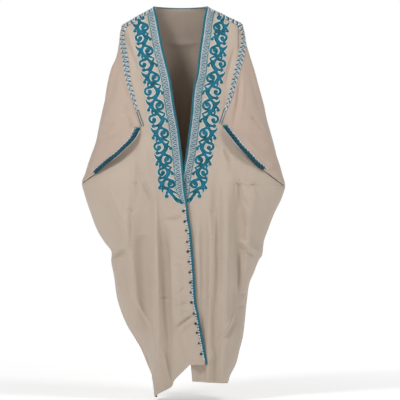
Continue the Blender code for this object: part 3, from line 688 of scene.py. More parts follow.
for side in SIDE_NAMES:
    cloth = front[side]
    to_seam = cloth.distance[:, -1:] - cloth.distance
    beside_trim = UNDER_TRIM + (1 - UNDER_TRIM) * ease(cloth.distance / FADE_AT_TRIM)
    quiet = ease(to_seam / FADE_AT_SEAM) * beside_trim
    add_creases(cloth, {cloth.name: np.ones_like(quiet)}, quiet)
quiet = ease(back.distance / FADE_AT_SEAM) * ease((STATIONS[:, None] - TOP) / FADE_AT_SHOULDER)
ahead = ease((SIDE_FOLD - back.turn) / TURN_AWAY + 0.5)
on_left = back.points[..., 0] > 0
add_creases(back, {
    "arm_right": ahead * ~on_left, "arm_left": ahead * on_left, "back": 1 - ahead,
}, quiet)

# %% [markdown]
# ## The turned hem
# The hem is turned up twice, about 14 mm deep, so the cloth is thicker there and stands out by a
# thread or two. The depth is measured up each column of the grid from its foot.

# %% Turn the hem
HEM_DEPTH, HEM_STEP, HEM_START, HEM_EDGE = 14.0, 0.8, 3, 5


def above_hem(cloth):
    """How far up the cloth each point lies from the hem."""
    steps = np.linalg.norm(np.diff(cloth.points, axis=0), axis=2)
    up = np.cumsum(steps[::-1], axis=0)[::-1]
    return np.concatenate([up, np.zeros((1, up.shape[1]))])


for cloth in PANELS:
    turned_up = ease((HEM_DEPTH + HEM_START - above_hem(cloth)) / HEM_EDGE)
    cloth.points = cloth.points + cloth.normals * (HEM_STEP * turned_up)[..., None]
    cloth.refresh()
print("hems turned up by", HEM_DEPTH, "mm")

# %% [markdown]
# ## Helpers for materials and meshes
# Every finish is a small tree of nodes. One helper adds a node and joins it up, so that each
# finish reads as a list of what it is made of. Others turn points in millimetres into a named
# piece that sits at the origin, with its place in its mesh, and tell the frame about it.

# %% Node helpers
def add_node(tree, kind, inputs=(), **settings):
    """A node with its settings, and each input joined to a socket or given a value."""
    node = tree.nodes.new(kind)
    for key, value in settings.items():
        setattr(node, key, value)
    for key, value in dict(inputs).items():
        if isinstance(value, bpy.types.NodeSocket):
            tree.links.new(value, node.inputs[key])
        else:
            node.inputs[key].default_value = value
    return node


def calc(tree, operation, first, second=0.0):
    """The result of an operation on two numbers or sockets."""
    kind = "ShaderNodeMath"
    return add_node(tree, kind, {0: first, 1: second}, operation=operation).outputs[0]


def blend_colour(tree, share, first, second):
    """A mix of two colours, with a share of the second."""
    inputs = {0: share, 6: first, 7: second}
    return add_node(tree, "ShaderNodeMix", inputs, data_type="RGBA").outputs[2]


def place_on(tree, kind):
    """A place on a piece's own map, "UV", or in the frame, "Object"."""
    return add_node(tree, "ShaderNodeTexCoord").outputs[kind]


def noise_value(tree, place, scale, detail=2.0):
    """Soft random spots, as a number about one half."""
    return add_node(tree, "ShaderNodeTexNoise", {
        "Vector": place, "Scale": scale, "Detail": detail, "Roughness": 0.55,
    }).outputs["Fac"]


def stretched(tree, place, scale):
    """A place with each of its axes scaled."""
    return add_node(tree, "ShaderNodeMapping", {"Vector": place, "Scale": scale}).outputs["Vector"]


def wave(tree, place, period, direction):
    """Even ridges across one direction of a map in metres, a period apart."""
    return add_node(tree, "ShaderNodeTexWave", {
        "Vector": place, "Scale": 2 * math.pi / (20 * period), "Distortion": 0.6, "Detail": 1.0,
    }, bands_direction=direction).outputs["Fac"]


def new_finish(name, roughness, **sockets):
    """A material, its tree and its surface shader, with plain numbers set on the shader."""
    finish = bpy.data.materials.new(name)
    finish.use_nodes = True
    surface = finish.node_tree.nodes["Principled BSDF"]
    surface.inputs["Roughness"].default_value = roughness
    for key, value in sockets.items():
        surface.inputs[key.replace("_", " ")].default_value = value
    return finish, finish.node_tree, surface


def connect(tree, surface, colour, height, strength, depth):
    """Join a colour and a height, as a bump, to the surface."""
    tree.links.new(colour, surface.inputs["Base Color"])
    bump = add_node(tree, "ShaderNodeBump", {
        "Strength": strength, "Distance": depth, "Height": height,
    })
    tree.links.new(bump.outputs["Normal"], surface.inputs["Normal"])


# %% Mesh helpers
def set_values(mesh, key, values, kind="FLOAT"):
    """Give each point of a mesh a named number, or a direction."""
    layer = mesh.attributes.new(key, kind, "POINT")
    word = "value" if kind == "FLOAT" else "vector"
    layer.data.foreach_set(word, np.asarray(values, np.float32).ravel())


def add_piece(name, points, faces, finish, uv=None, values=()):
    """A piece from points in millimetres. uv has a row for each point, values named numbers."""
    mesh = bpy.data.meshes.new(name)
    mesh.from_pydata((np.asarray(points) * MM).tolist(), [], faces)
    if uv is not None:
        corner = np.zeros(len(mesh.loops), int)
        mesh.loops.foreach_get("vertex_index", corner)
        layer = mesh.uv_layers.new(name="map")
        layer.data.foreach_set("uv", uv[corner].astype(np.float32).ravel())
    for key, value in dict(values).items():
        set_values(mesh, key, value)
    mesh.shade_smooth()
    mesh.materials.append(finish)
    piece = bpy.data.objects.new(name, mesh)
    bpy.context.scene.collection.objects.link(piece)
    return piece


def turned_in(points, face, outward):
    """Whether a face's corners run the wrong way round for its outward direction."""
    first = points[face[0]]
    return np.cross(points[face[1]] - first, points[face[3]] - first) @ outward < 0


def tube_faces(along, size, first=0):
    """Faces of a closed tube, of rings with size points each, with both ends capped."""
    i, j = np.meshgrid(np.arange(along - 1), np.arange(size), indexing="ij")
    a, b = first + i * size + j, first + i * size + (j + 1) % size
    faces = np.stack([a, b, b + size, a + size], axis=-1).reshape(-1, 4).tolist()
    last = first + (along - 1) * size
    return faces + [list(range(first, first + size))[::-1], list(range(last, last + size))]


def dress(piece, slot, *nodes):
    """Attach a piece to the root and hide the parts that it stands for. Its slot is not used."""
    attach(piece, "root")
    if nodes:
        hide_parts(*nodes)
    return piece


def triangles(piece):
    """How many triangles a piece has."""
    return sum(len(p.vertices) - 2 for p in piece.data.polygons)


# %% [markdown]
# ## The wool
# Summer bisht wool is thin, matt and plainly woven, with threads that are a little thicker in
# places, so that faint streaks run down and across. The weave follows the cloth's own map, in
# metres across, from a front's edge or the back's middle, and down. The over-arm parts are
# painted pinker, as painted light shining through their single layer.

# %% Wool
WOOL = (0.47, 0.383, 0.308, 1)
WOOL_PALE = (0.575, 0.48, 0.395, 1)
# Pinker wool over the arms, painted light shining through the single layer there.
WOOL_BACKLIT_PINK = (0.51, 0.385, 0.312, 1)
THREAD_PITCH = 0.0011
STREAKS_DOWN, STREAKS_ACROSS, CREPE = (420, 9, 1), (9, 420, 1), (700, 520, 1)
SLUB_TONE, CLOUD_TONE, TONE_BASE, CLOUD_SCALE, ARM_BACKLIGHT_TONE = 0.8, 0.5, 0.28, 7.0, 0.75

wool, tree, surface = new_finish("wool", 0.86, Sheen_Weight=0.22, Sheen_Roughness=0.5)
place = place_on(tree, "UV")
down = noise_value(tree, stretched(tree, place, STREAKS_DOWN), 1.0, 3.0)
across = noise_value(tree, stretched(tree, place, STREAKS_ACROSS), 1.0, 3.0)
slub = calc(tree, "MULTIPLY", calc(tree, "ADD", down, across), 0.5)
cloud = noise_value(tree, place_on(tree, "Object"), CLOUD_SCALE, 3.0)
tone = calc(
    tree, "ADD", calc(tree, "MULTIPLY", slub, SLUB_TONE), calc(tree, "MULTIPLY", cloud, CLOUD_TONE),
)
colour = blend_colour(tree, calc(tree, "SUBTRACT", tone, TONE_BASE), WOOL, WOOL_PALE)
# Over the arms the colour is painted pinker, as painted light shining through the single layer.
arm = add_node(tree, "ShaderNodeAttribute", attribute_name="arm").outputs["Fac"]
colour = blend_colour(tree, calc(tree, "MULTIPLY", arm, ARM_BACKLIGHT_TONE), colour, WOOL_BACKLIT_PINK)
weave = calc(
    tree, "MULTIPLY", wave(tree, place, THREAD_PITCH, "X"), wave(tree, place, THREAD_PITCH, "Y"),
)
crepe = noise_value(tree, stretched(tree, place, CREPE), 1.0, 2.0)
height = calc(tree, "ADD", calc(tree, "MULTIPLY", weave, 0.5), calc(tree, "ADD", crepe, slub))
connect(tree, surface, colour, height, 0.35, 0.0004)
print("wool made, a thread each", THREAD_PITCH / MM, "mm")

# %% [markdown]
# ## Cloth with two faces
# A sheet that shows its inside at the neck, the slits and the hem needs a real wall. The outer
# grid is copied inwards by the cloth's thickness and a rim joins the two, which a Solidify
# modifier would do too, but here the wall stays exact at the seams.

# %% Build the back and the fronts
WALL, TEST_FACE = 1.0, 5000
ARM_FROM, ARM_OVER = 660, 60


def grid_quads(rows, columns):
    """Faces of a grid of points that is stored row by row."""
    i, j = np.meshgrid(np.arange(rows - 1), np.arange(columns - 1), indexing="ij")
    a = (i * columns + j).ravel()
    return np.stack([a, a + columns, a + columns + 1, a + 1], axis=-1)


def rim_of(rows, columns):
    """The points round a grid, in order."""
    top = list(range(columns)) + [(i + 1) * columns - 1 for i in range(1, rows)]
    count = rows * columns
    return top + [count - 1 - j for j in range(1, columns)] + [
        i * columns for i in range(rows - 2, 0, -1)
    ]


def build_cloth(cloth, middle_column, arm_backlight_weight):
    """A closed wall on a cloth's grid, with its map in metres from a column and from the top."""
    rows, columns = cloth.points.shape[:2]
    outer = cloth.points.reshape(-1, 3)
    inner = (cloth.points - cloth.normals * WALL).reshape(-1, 3)
    quads = grid_quads(rows, columns)
    face = quads[TEST_FACE]
    turned = turned_in(outer, face, cloth.normals.reshape(-1, 3)[face[0]])
    if turned:
        quads = quads[:, ::-1]
    rim = np.array(rim_of(rows, columns))
    after = np.roll(rim, -1)
    side = np.stack([rim, after, after + len(outer), rim + len(outer)], axis=-1)
    side = side if turned else side[:, ::-1]
    faces = np.concatenate([quads, quads[:, ::-1] + len(outer), side]).tolist()
    steps = np.linalg.norm(np.diff(cloth.points, axis=1), axis=2)
    run = np.concatenate([np.zeros((rows, 1)), np.cumsum(steps, axis=1)], axis=1)
    run = run - run[:, middle_column:middle_column + 1]
    drop = np.repeat(STATIONS[:, None], columns, axis=1)
    uv = np.stack([run, drop], axis=-1).reshape(-1, 2) * MM
    # Each point's share of the pinker wool, painted light through the over-arm's single layer.
    weight = arm_backlight_weight.ravel()
    piece = add_piece(
        cloth.name, np.concatenate([outer, inner]), faces, wool,
        np.concatenate([uv, uv]), {"arm": np.concatenate([weight, weight])},
    )
    dress(piece, "wool", cloth.name)
    piece.name = cloth.name + "_cloth"
    print(piece.name, triangles(piece), "triangles, half its surface",
          round(sum(p.area for p in piece.data.polygons) / 2, 3), "m2")
    return piece


# The over-arm cloth above the slits, where the wool is painted pinker as light shining through.
upper = ease((ARM_FROM - STATIONS[:, None]) / ARM_OVER)
cloths = {"back": build_cloth(back, back.points.shape[1] // 2, ahead * upper)}
for side in SIDE_NAMES:
    cloths[side] = build_cloth(front[side], 0, np.zeros(front[side].points.shape[:2]))

# %% [markdown]
# ## How the cloth was cut
# Each of the three is one flat width of cloth, cut as long as its longest thread runs down and as
# wide as its longest thread runs across. The sides are then shaped, so its area is a little less.

# %% Cut sizes
for piece, cloth in zip(cloths.values(), PANELS):
    across, down = (
        round(np.linalg.norm(np.diff(cloth.points, axis=k), axis=2).sum(axis=k).max() * MM, 2)
        for k in (1, 0)
    )

# %% [markdown]
# ## Places on the cloth for every trim
# A trim is sewn to the cloth, so its place is given by the drop of the ring that it is on and its
# distance from an edge, and this lookup gives the point and the outward direction there.

# %% Look up a place on a cloth
BACK_HALF = back.points.shape[1] // 2 + 1


def half_of(cloth, side):
    """A cloth's points, directions and distances, with columns from the edge inwards."""
    grids = np.concatenate([cloth.points, cloth.normals], axis=2), cloth.distance
    if cloth is not back:
        return grids
    columns = slice(0, BACK_HALF) if side == LEFT else slice(None, -BACK_HALF - 1, -1)
    return tuple(grid[:, columns] for grid in grids)


def on_cloth(cloth, side, stations, distances):
    """Points and outward directions at drops of the side fold and distances along the rings."""
    grid, run = half_of(cloth, side)
    rows, columns = np.arange(len(STATIONS)), np.arange(run.shape[1])
    found = []
    for station, distance in np.broadcast(stations, distances):
        r = np.interp(station, STATIONS, rows)
        i = min(int(r), len(rows) - 2)
        pair = []
        for k in (i, i + 1):
            c = np.interp(distance, run[k], columns)
            j = min(int(c), len(columns) - 2)
            pair.append(grid[k, j] * (1 + j - c) + grid[k, j + 1] * (c - j))
        found.append(pair[0] * (1 + i - r) + pair[1] * (r - i))
    found = np.array(found)
    return found[:, :3], found[:, 3:] / np.linalg.norm(found[:, 3:], axis=1, keepdims=True)


print("the back has", BACK_HALF, "columns on each side, its middle among them")

# %% [markdown]
# ## Threads that twist and plait
# Rope and plait are one thing to a maker: each strand swings from side to side as it runs, and a
# plait also dips under the next strand at every crossing. Geometry Nodes draw them. The tree
# takes a rail, a line of points that knows which way is out, shifts a copy of it for each strand
# and sweeps a round section along it. Swing, pitch and thickness can then be changed at will.

# %% Rails, and how a tree is run
def rail(points, outward, spread=1.0, bend=0.0):
    """A line of points in millimetres as a loose mesh that the trees can follow."""
    count = len(points)
    mesh = bpy.data.meshes.new("rail")
    mesh.from_pydata((points * MM).tolist(), [(i, i + 1) for i in range(count - 1)], [])
    set_values(mesh, "outward", outward, "FLOAT_VECTOR")
    set_values(mesh, "spread", np.broadcast_to(spread, count))
    set_values(mesh, "bend", np.broadcast_to(bend, count))
    return mesh


def new_tree(name, inputs):
    """A geometry tree with named number inputs, and its input and output nodes."""
    tree = bpy.data.node_groups.new(name, "GeometryNodeTree")
    tree.interface.new_socket("Geometry", in_out="INPUT", socket_type="NodeSocketGeometry")
    for key, value in inputs.items():
        kind = "NodeSocketInt" if isinstance(value, int) else "NodeSocketFloat"
        tree.interface.new_socket(key, in_out="INPUT", socket_type=kind).default_value = value
    tree.interface.new_socket("Geometry", in_out="OUTPUT", socket_type="NodeSocketGeometry")
    return tree, tree.nodes.new("NodeGroupInput"), tree.nodes.new("NodeGroupOutput")


def grow(name, mesh, tree, settings, slot, *nodes):
    """Run a tree on a mesh, keep the result as a plain mesh, and dress it."""
    seed = bpy.data.objects.new(name + "_rail", mesh)
    bpy.context.scene.collection.objects.link(seed)
    modifier = seed.modifiers.new("grow", "NODES")
    modifier.node_group = tree
    for item in tree.interface.items_tree:
        if item.item_type == "SOCKET" and item.in_out == "INPUT" and item.name in settings:
            modifier[item.identifier] = settings[item.name]
    depsgraph = bpy.context.evaluated_depsgraph_get()
    made = bpy.data.meshes.new_from_object(seed.evaluated_get(depsgraph))
    bpy.data.objects.remove(seed)
    made.name = name
    piece = bpy.data.objects.new(name, made)
    bpy.context.scene.collection.objects.link(piece)
    print(name, triangles(piece), "triangles")
    return dress(piece, slot, *nodes)


def named(tree, key, kind="FLOAT"):
    """A number or direction that each point carries under a name."""
    node = add_node(tree, "GeometryNodeInputNamedAttribute", {"Name": key}, data_type=kind)
    return node.outputs["Attribute"]


def vector_calc(tree, operation, inputs):
    """The result of an operation on directions."""
    return add_node(tree, "ShaderNodeVectorMath", inputs, operation=operation).outputs[0]


def coat(tree, geometry, finish):
    """The same geometry with a finish on it."""
    inputs = {"Geometry": geometry, "Material": finish}
    return add_node(tree, "GeometryNodeSetMaterial", inputs).outputs[0]


def real_and_smooth(tree, geometry):
    """The same geometry with real copies and smooth shading."""
    solid = add_node(tree, "GeometryNodeRealizeInstances", {"Geometry": geometry})
    smooth = add_node(tree, "GeometryNodeSetShadeSmooth", {"Geometry": solid.outputs[0]})
    return smooth.outputs[0]


# %% The plaiting tree
SECTION_SIDES = 6


def strand_shift(tree, strand, turn, spread, bend, lift, outward, sideways):
    """Where one strand runs beside the rail: across it, and up from the cloth."""
    offset, swing, phase, turns, rise, dips = strand
    angle = calc(tree, "ADD", calc(tree, "MULTIPLY", turn, turns), phase)
    angle = calc(tree, "MULTIPLY", angle, math.tau)
    across = calc(tree, "MULTIPLY", calc(tree, "SINE", angle), swing * MM)
    across = calc(tree, "MULTIPLY", calc(tree, "ADD", across, offset * MM), spread)
    dip = calc(tree, "MULTIPLY", angle, dips)
    dip = calc(tree, "SINE", calc(tree, "ADD", dip, math.pi / 2 * (dips == 1)))
    up = calc(tree, "ADD", calc(tree, "MULTIPLY", dip, rise * MM), lift)
    bent = calc(tree, "MULTIPLY", calc(tree, "ABSOLUTE", across), bend)
    up = calc(tree, "SUBTRACT", up, bent)
    return vector_calc(tree, "ADD", {
        0: vector_calc(tree, "SCALE", {0: outward, "Scale": up}),
        1: vector_calc(tree, "SCALE", {0: sideways, "Scale": across}),
    })


def plait_tree(name, strands):
    """Strands: offset, swing, phase, turns in a pitch, rise, dips in a turn, thickness, finish."""
    tree, given, result = new_tree(name, {"Pitch": 0.015, "Step": 0.002, "Lift": 0.001})
    line = add_node(tree, "GeometryNodeMeshToCurve", {0: given.outputs["Geometry"]})
    line = add_node(tree, "GeometryNodeResampleCurve", {
        "Curve": line.outputs[0], "Length": given.outputs["Step"],
    }, mode="LENGTH")
    run = add_node(tree, "GeometryNodeSplineParameter").outputs["Length"]
    turn = calc(tree, "DIVIDE", run, given.outputs["Pitch"])
    outward = named(tree, "outward", "FLOAT_VECTOR")
    spread, bend = named(tree, "spread"), named(tree, "bend")
    tangent = add_node(tree, "GeometryNodeInputTangent").outputs[0]
    sideways = vector_calc(tree, "CROSS_PRODUCT", {0: tangent, 1: outward})
    sideways = vector_calc(tree, "NORMALIZE", {0: sideways})
    joined = tree.nodes.new("GeometryNodeJoinGeometry")
    for *strand, thickness, finish in strands:
        shift = strand_shift(
            tree, strand, turn, spread, bend, given.outputs["Lift"], outward, sideways,
        )
        moved = add_node(tree, "GeometryNodeSetPosition", {
            "Geometry": line.outputs[0], "Offset": shift,
        })
        circle = add_node(tree, "GeometryNodeCurvePrimitiveCircle", {
            "Resolution": SECTION_SIDES, "Radius": thickness / 2 * MM,
        })
        tube = add_node(tree, "GeometryNodeCurveToMesh", {
            "Curve": moved.outputs[0], "Profile Curve": circle.outputs[0], "Fill Caps": True,
        })
        tree.links.new(coat(tree, tube.outputs[0], finish), joined.inputs[0])
    tree.links.new(real_and_smooth(tree, joined.outputs[0]), result.inputs[0])
    return tree


def rope(thickness, swing, finish, offset=0.0, count=3):
    """Strands that wind round each other."""
    return [
        (offset, swing, k / count, 1.0, swing * 0.55, 1, thickness, finish) for k in range(count)
    ]


def plait(swing, thickness, finishes, rise=0.8, offset=0.0, turns=1.0):
    """Strands that cross over and under each other."""
    count = len(finishes)
    return [
        (offset, swing, k / count, turns, rise, 2, thickness, one) for k, one in enumerate(finishes)
    ]


# %% [markdown]
# ## Beads, knots and stitches
# Picots, knots and hem stitches are the same small rounded shape, set down again and again. A
# second tree puts a stretched ball of a few faces on each point and turns it to the cloth.

# %% The stitching tree
def stitch_points(points, outward, along, lift):
    """Loose points, lifted off the cloth, that know which way is out and along."""
    mesh = bpy.data.meshes.new("stitches")
    mesh.from_pydata(((points + outward * lift) * MM).tolist(), [], [])
    set_values(mesh, "outward", outward, "FLOAT_VECTOR")
    set_values(mesh, "along", along, "FLOAT_VECTOR")
    return mesh


def stitch_tree(name, finish):
    """Balls of one length, width and height, each a little smaller or larger than the next."""
    tree, given, result = new_tree(name, {
        "Length": 0.003, "Width": 0.001, "Height": 0.001, "Roundness": 1, "Unevenness": 0.15,
        "Seed": 7,
    })
    points = add_node(tree, "GeometryNodeMeshToPoints", {"Mesh": given.outputs["Geometry"]})
    ball = add_node(tree, "GeometryNodeMeshIcoSphere", {
        "Radius": 0.5, "Subdivisions": given.outputs["Roundness"],
    })
    turned = add_node(tree, "FunctionNodeAxesToRotation", {
        "Primary Axis": named(tree, "outward", "FLOAT_VECTOR"),
        "Secondary Axis": named(tree, "along", "FLOAT_VECTOR"),
    }, primary_axis="Z", secondary_axis="X")
    uneven = add_node(tree, "FunctionNodeRandomValue", {
        2: calc(tree, "SUBTRACT", 1.0, given.outputs["Unevenness"]),
        3: calc(tree, "ADD", 1.0, given.outputs["Unevenness"]),
        "Seed": given.outputs["Seed"],
    }, data_type="FLOAT").outputs[1]
    shape = add_node(tree, "ShaderNodeCombineXYZ", {
        key: calc(tree, "MULTIPLY", given.outputs[word], uneven)
        for key, word in (("X", "Length"), ("Y", "Width"), ("Z", "Height"))
    })
    placed = add_node(tree, "GeometryNodeInstanceOnPoints", {
        "Points": points.outputs[0], "Instance": ball.outputs[0],
        "Rotation": turned.outputs[0], "Scale": shape.outputs[0],
    })
    coated = coat(tree, real_and_smooth(tree, placed.outputs[0]), finish)
    tree.links.new(coated, result.inputs[0])
    return tree


# %% [markdown]
# ## Threads and their shine
# The cords are teal rayon, nearly matt, and the cuffs are darker and flatter still. The band and
# the shoulder braid hold metal thread, which glints. All of them are painted mottled a little, as
# painted light and shade for the light and dark that a twisted thread shows turn by turn.

# %% Thread finishes
DULL = {"sheen": 0.04, "gloss": 0.25}
FINE_SPOTS, BROAD_SPOTS, BROADER = 0.65, 0.6, 16
SPOT_RANGE = {"From Min": 0.38, "From Max": 0.86}


def thread(name, dark, light, roughness, metallic=0.0, scale=900.0, sheen=0.2, gloss=0.5):
    """A mottled thread, between a dark and a light colour, with fine and broad spots."""
    finish, tree, surface = new_finish(
        name, roughness, Metallic=metallic, Sheen_Weight=sheen, Specular_IOR_Level=gloss,
    )
    place = place_on(tree, "Object")
    # Painted light and shade: light and dark spots for the twist of the strands.
    fine = noise_value(tree, place, scale)
    broad = noise_value(tree, place, scale / BROADER)
    spots = calc(
        tree, "ADD", calc(tree, "MULTIPLY", fine, FINE_SPOTS),
        calc(tree, "MULTIPLY", broad, BROAD_SPOTS),
    )
    share = add_node(tree, "ShaderNodeMapRange", dict(SPOT_RANGE, Value=spots)).outputs[0]
    connect(tree, surface, blend_colour(tree, share, (*dark, 1), (*light, 1)), fine, 0.5, 0.0003)
    print(name, "from", dark, "to", light)
    return finish


teal = thread("teal_thread", (0.001, 0.095, 0.15), (0.004, 0.21, 0.27), 0.55, sheen=0.08)
deep_teal = thread(
    "deep_teal_thread", (0.003, 0.024, 0.037), (0.012, 0.075, 0.105), 0.6, **DULL,
)
green_teal = thread("green_teal_thread", (0.01, 0.20, 0.20), (0.05, 0.42, 0.40), 0.45)
silver = thread("silver_thread", (0.33, 0.41, 0.45), (0.76, 0.85, 0.90), 0.38, 0.3)
grey = thread("grey_thread", (0.008, 0.032, 0.042), (0.06, 0.12, 0.145), 0.5, 0.1)
pale = thread("pale_thread", (0.58, 0.68, 0.74), (0.88, 0.95, 0.98), 0.6)
mottled = thread(
    "cuff_thread", (0.002, 0.012, 0.022), (0.016, 0.13, 0.18), 0.6, scale=270.0, **DULL,
)
edging_cord = thread("edging_cord", (0.44, 0.52, 0.55), (0.70, 0.78, 0.81), 0.6)
hem_thread = thread("hem_thread", (0.36, 0.27, 0.20), (0.52, 0.41, 0.31), 0.8)

# %% [markdown]
# ## Corded edges
# A cord of three strands is whipped to both front edges, from the neck to the hem, and on round
# the back of the neck. It lies on the cloth, half a cord in from the cut edge. The left cord ends
# under the lap, a little above the hem, where the other front covers it.

# %% Edge cords and neck binding
CORD_INSET, CORD_STRAND, CORD_SWING, CORD_PITCH = 4.4, 3.5, 2.7, 17.0
LEFT_CORD_FOOT, TRIM_STEP = 1250.0, 4.0
cord_tree = plait_tree("twisted_cord", rope(CORD_STRAND, CORD_SWING, teal))
cord_sizes = {"Pitch": CORD_PITCH * MM, "Step": 0.0022, "Lift": 0.0018}
for side, name in SIDE_NAMES.items():
    node = "edge_cord_" + name
    edge_drop = -front[side].points[:, 0, 2]
    foot = BOTTOM if side == RIGHT else np.interp(LEFT_CORD_FOOT, edge_drop, STATIONS)
    line = on_cloth(front[side], side, np.arange(TOP, foot, TRIM_STEP), CORD_INSET)
    grow(node + "_twist", rail(*line), cord_tree, cord_sizes, "teal_cord", node)
corner = round(NECK_CORNER * BACK_FAR) + SIDE_STRIP
nape = slice(corner, back.points.shape[1] - corner)
line = (back.points[1, nape] + back.points[0, nape]) / 2, back.normals[1, nape]
grow("neck_binding_twist", rail(*line), cord_tree, cord_sizes, "teal_cord", "neck_binding")

# %% [markdown]
# ## Strips sewn flat
# The grounds of the bands and of the cuff braids are flat strips. Each is a closed strip of cloth
# with its own crown, and its map runs along it in metres and across it from 0 to 1, so that a
# woven pattern can follow it.

# %% Flat strips
STRIP_FOOT = 0.1


def strip_map(runs, shares):
    """A map for rings of points: how far along, and how far across and back again."""
    there_and_back = np.concatenate([shares, shares[::-1]])
    return np.stack([
        np.repeat(runs, len(there_and_back)), np.tile(there_and_back, len(runs)),
    ], axis=-1)


def strip(name, lines, crown, finish):
    """A closed strip through lines (points, outward), side by side, each lifted to the crown."""
    lines, outward = (np.array([line[k] for line in lines]) for k in (0, 1))
    across, along = lines.shape[:2]
    high = lines + outward * np.asarray(crown)[:, None, None]
    low = lines + outward * STRIP_FOOT
    points = np.concatenate([high, low[::-1]]).transpose(1, 0, 2).reshape(-1, 3)
    size, middle = 2 * across, across // 2
    faces = tube_faces(along, size)
    if turned_in(points, faces[along // 2 * size + middle], outward[middle, along // 2]):
        faces = [face[::-1] for face in faces]
    uv = strip_map(run_of(lines[middle]) * MM, np.linspace(0, 1, across))
    piece = add_piece(name, points, faces, finish, uv)
    print(name, triangles(piece), "triangles")
    return piece


# %% [markdown]
# ## The woven bands
# Inside each cord lies a band about 26 mm wide, woven with silver, pale and teal threads. The
# ground is a strip whose pattern comes from its own map, and real threads are plaited over it.

# %% Woven band
BAND_FROM, BAND_TO, BAND_FOOT = 7.5, 34.0, 716
NARROW_FROM, NARROW_OVER, NARROW_BY = 655, 70, 0.62
BAND_CROWN = (0.9, 1.5, 1.2, 1.2, 1.2, 1.5, 0.9)
BAND_TINTS = (
    (0.0, (0.02, 0.15, 0.19, 1)), (0.43, (0.16, 0.24, 0.26, 1)), (0.48, (0.34, 0.40, 0.43, 1)),
    (0.56, (0.66, 0.66, 0.70, 1)),
)
band_ground, tree, surface = new_finish("band_ground", 0.48, Metallic=0.3, Sheen_Weight=0.15)
cells = add_node(tree, "ShaderNodeTexVoronoi", {
    "Vector": stretched(tree, place_on(tree, "UV"), (230, 5.5, 1)), "Scale": 1.0,
    "Randomness": 0.8,
})
patches = noise_value(tree, cells.outputs["Color"], 3.0)
mixed = add_node(tree, "ShaderNodeValToRGB", {"Fac": patches})
ramp = mixed.color_ramp
ramp.interpolation = "CONSTANT"
for at, tint in BAND_TINTS:
    stop = ramp.elements.new(at) if at else ramp.elements[0]
    stop.position, stop.color = at, tint
ramp.elements.remove(ramp.elements[-1])
connect(tree, surface, mixed.outputs[0], cells.outputs["Distance"], 0.6, 0.0006)

band_tree = plait_tree("band_threads", (
    plait(6.4, 2.3, [silver, grey, pale, grey, teal], rise=0.7)
    + plait(1.6, 1.5, [pale, silver], rise=0.35, offset=-11.4, turns=1.6)
    + plait(1.5, 1.5, [green_teal, teal], rise=0.35, offset=11.8, turns=1.6)
    + plait(1.1, 1.4, [grey, pale], rise=0.3, offset=-8.4)
    + plait(1.1, 1.4, [pale, grey], rise=0.3, offset=8.4)
))
band_sizes = {"Pitch": 0.0135, "Step": 0.0022, "Lift": 0.0016}
stations = np.arange(TOP, BAND_FOOT, TRIM_STEP)
narrow = 1 - NARROW_BY * ease((stations - NARROW_FROM) / NARROW_OVER)
half = (BAND_TO - BAND_FROM) / 2 * narrow
for side, name in SIDE_NAMES.items():
    node = "front_band_" + name
    shares = np.linspace(-1, 1, len(BAND_CROWN))
    lines = [on_cloth(front[side], side, stations, BAND_FROM + half + half * k) for k in shares]
    dress(strip(node + "_ground", lines, BAND_CROWN, band_ground), "woven_band", node)
    points, outward = on_cloth(front[side], side, stations, BAND_FROM + half)
    order = slice(None, None, -side)
    band_rail = rail(points[order], outward[order], narrow[order])
    grow(node + "_threads", band_rail, band_tree, band_sizes, "woven_band")

# %% [markdown]
# ## The scroll
# Beside each band runs an arabesque: a vine that sways from side to side, throws a large volute
# towards the band and a small curl away from it by turns, and puts out pointed leaves. It is
# couched cord, filled with satin stitch, with a pale cord round it. The vine, each branch and
# each leaf is a stroke: a smooth path with a width at each place. The scroll is this lesson's own
# drawing of that common pattern, with every unit a little different from the last.

# %% Strokes of one unit
# Drop of each volute's eye, its distance from the front edge, and its outer radius.
VOLUTES = (
    (78, 54, 14), (118, 76, 15), (166, 55, 16), (214, 81, 16), (264, 56, 17), (314, 82, 17),
    (364, 56, 17), (414, 82, 17), (464, 56, 17), (512, 79, 16), (558, 54, 16), (602, 74, 15),
    (644, 50, 14),
)
VINE, SWAY_IN, SWAY_OUT = 67.0, -14.0, 15.0
SCROLL_TOP, FULLNESS, FULL_RADIUS, OUT_STRETCH = 36.0, 1.12, 17, 1.12
CAP_TURNS, LEAF_ROWS, LEAF_TAPER = (25, 50, 70, 86), 14, 1.3
CURL_ROWS, CURL_TIGHT, BUD_FROM, BUD_OVER = 13, 1.15, 0.78, 0.2


def smooth_path(places, step=2.2):
    """A soft curve through rows (away, drop, width), as evenly spaced rows."""
    places = np.asarray(places, float)
    ends = np.concatenate([[2 * places[0] - places[1]], places, [2 * places[-1] - places[-2]]])
    rows = []
    for p0, p1, p2, p3 in zip(ends, ends[1:], ends[2:], ends[3:]):
        t = np.linspace(0, 1, 12, endpoint=False)[:, None]
        rows.append(0.5 * (
            2 * p1 + (p2 - p0) * t + (2 * p0 - 5 * p1 + 4 * p2 - p3) * t**2
            + (3 * p1 - p0 - 3 * p2 + p3) * t**3
        ))
    rows = np.concatenate(rows + [places[-1:]])
    run = run_of(rows[:, :2])
    count = max(6, int(run[-1] / step))
    return rounded(rounded(sample(rows, run, np.linspace(0, run[-1], count)))[::-1])[::-1]


def rounded(rows):
    """The same rows with a round end after the last."""
    ahead = rows[-1, :2] - rows[-2, :2]
    ahead, wide = ahead / np.linalg.norm(ahead), rows[-1, 2]
    turns = np.radians(CAP_TURNS)[:, None]
    cap = np.hstack([rows[-1, :2] + ahead * wide / 2 * np.sin(turns), wide * np.cos(turns)])
    return np.concatenate([rows, cap])


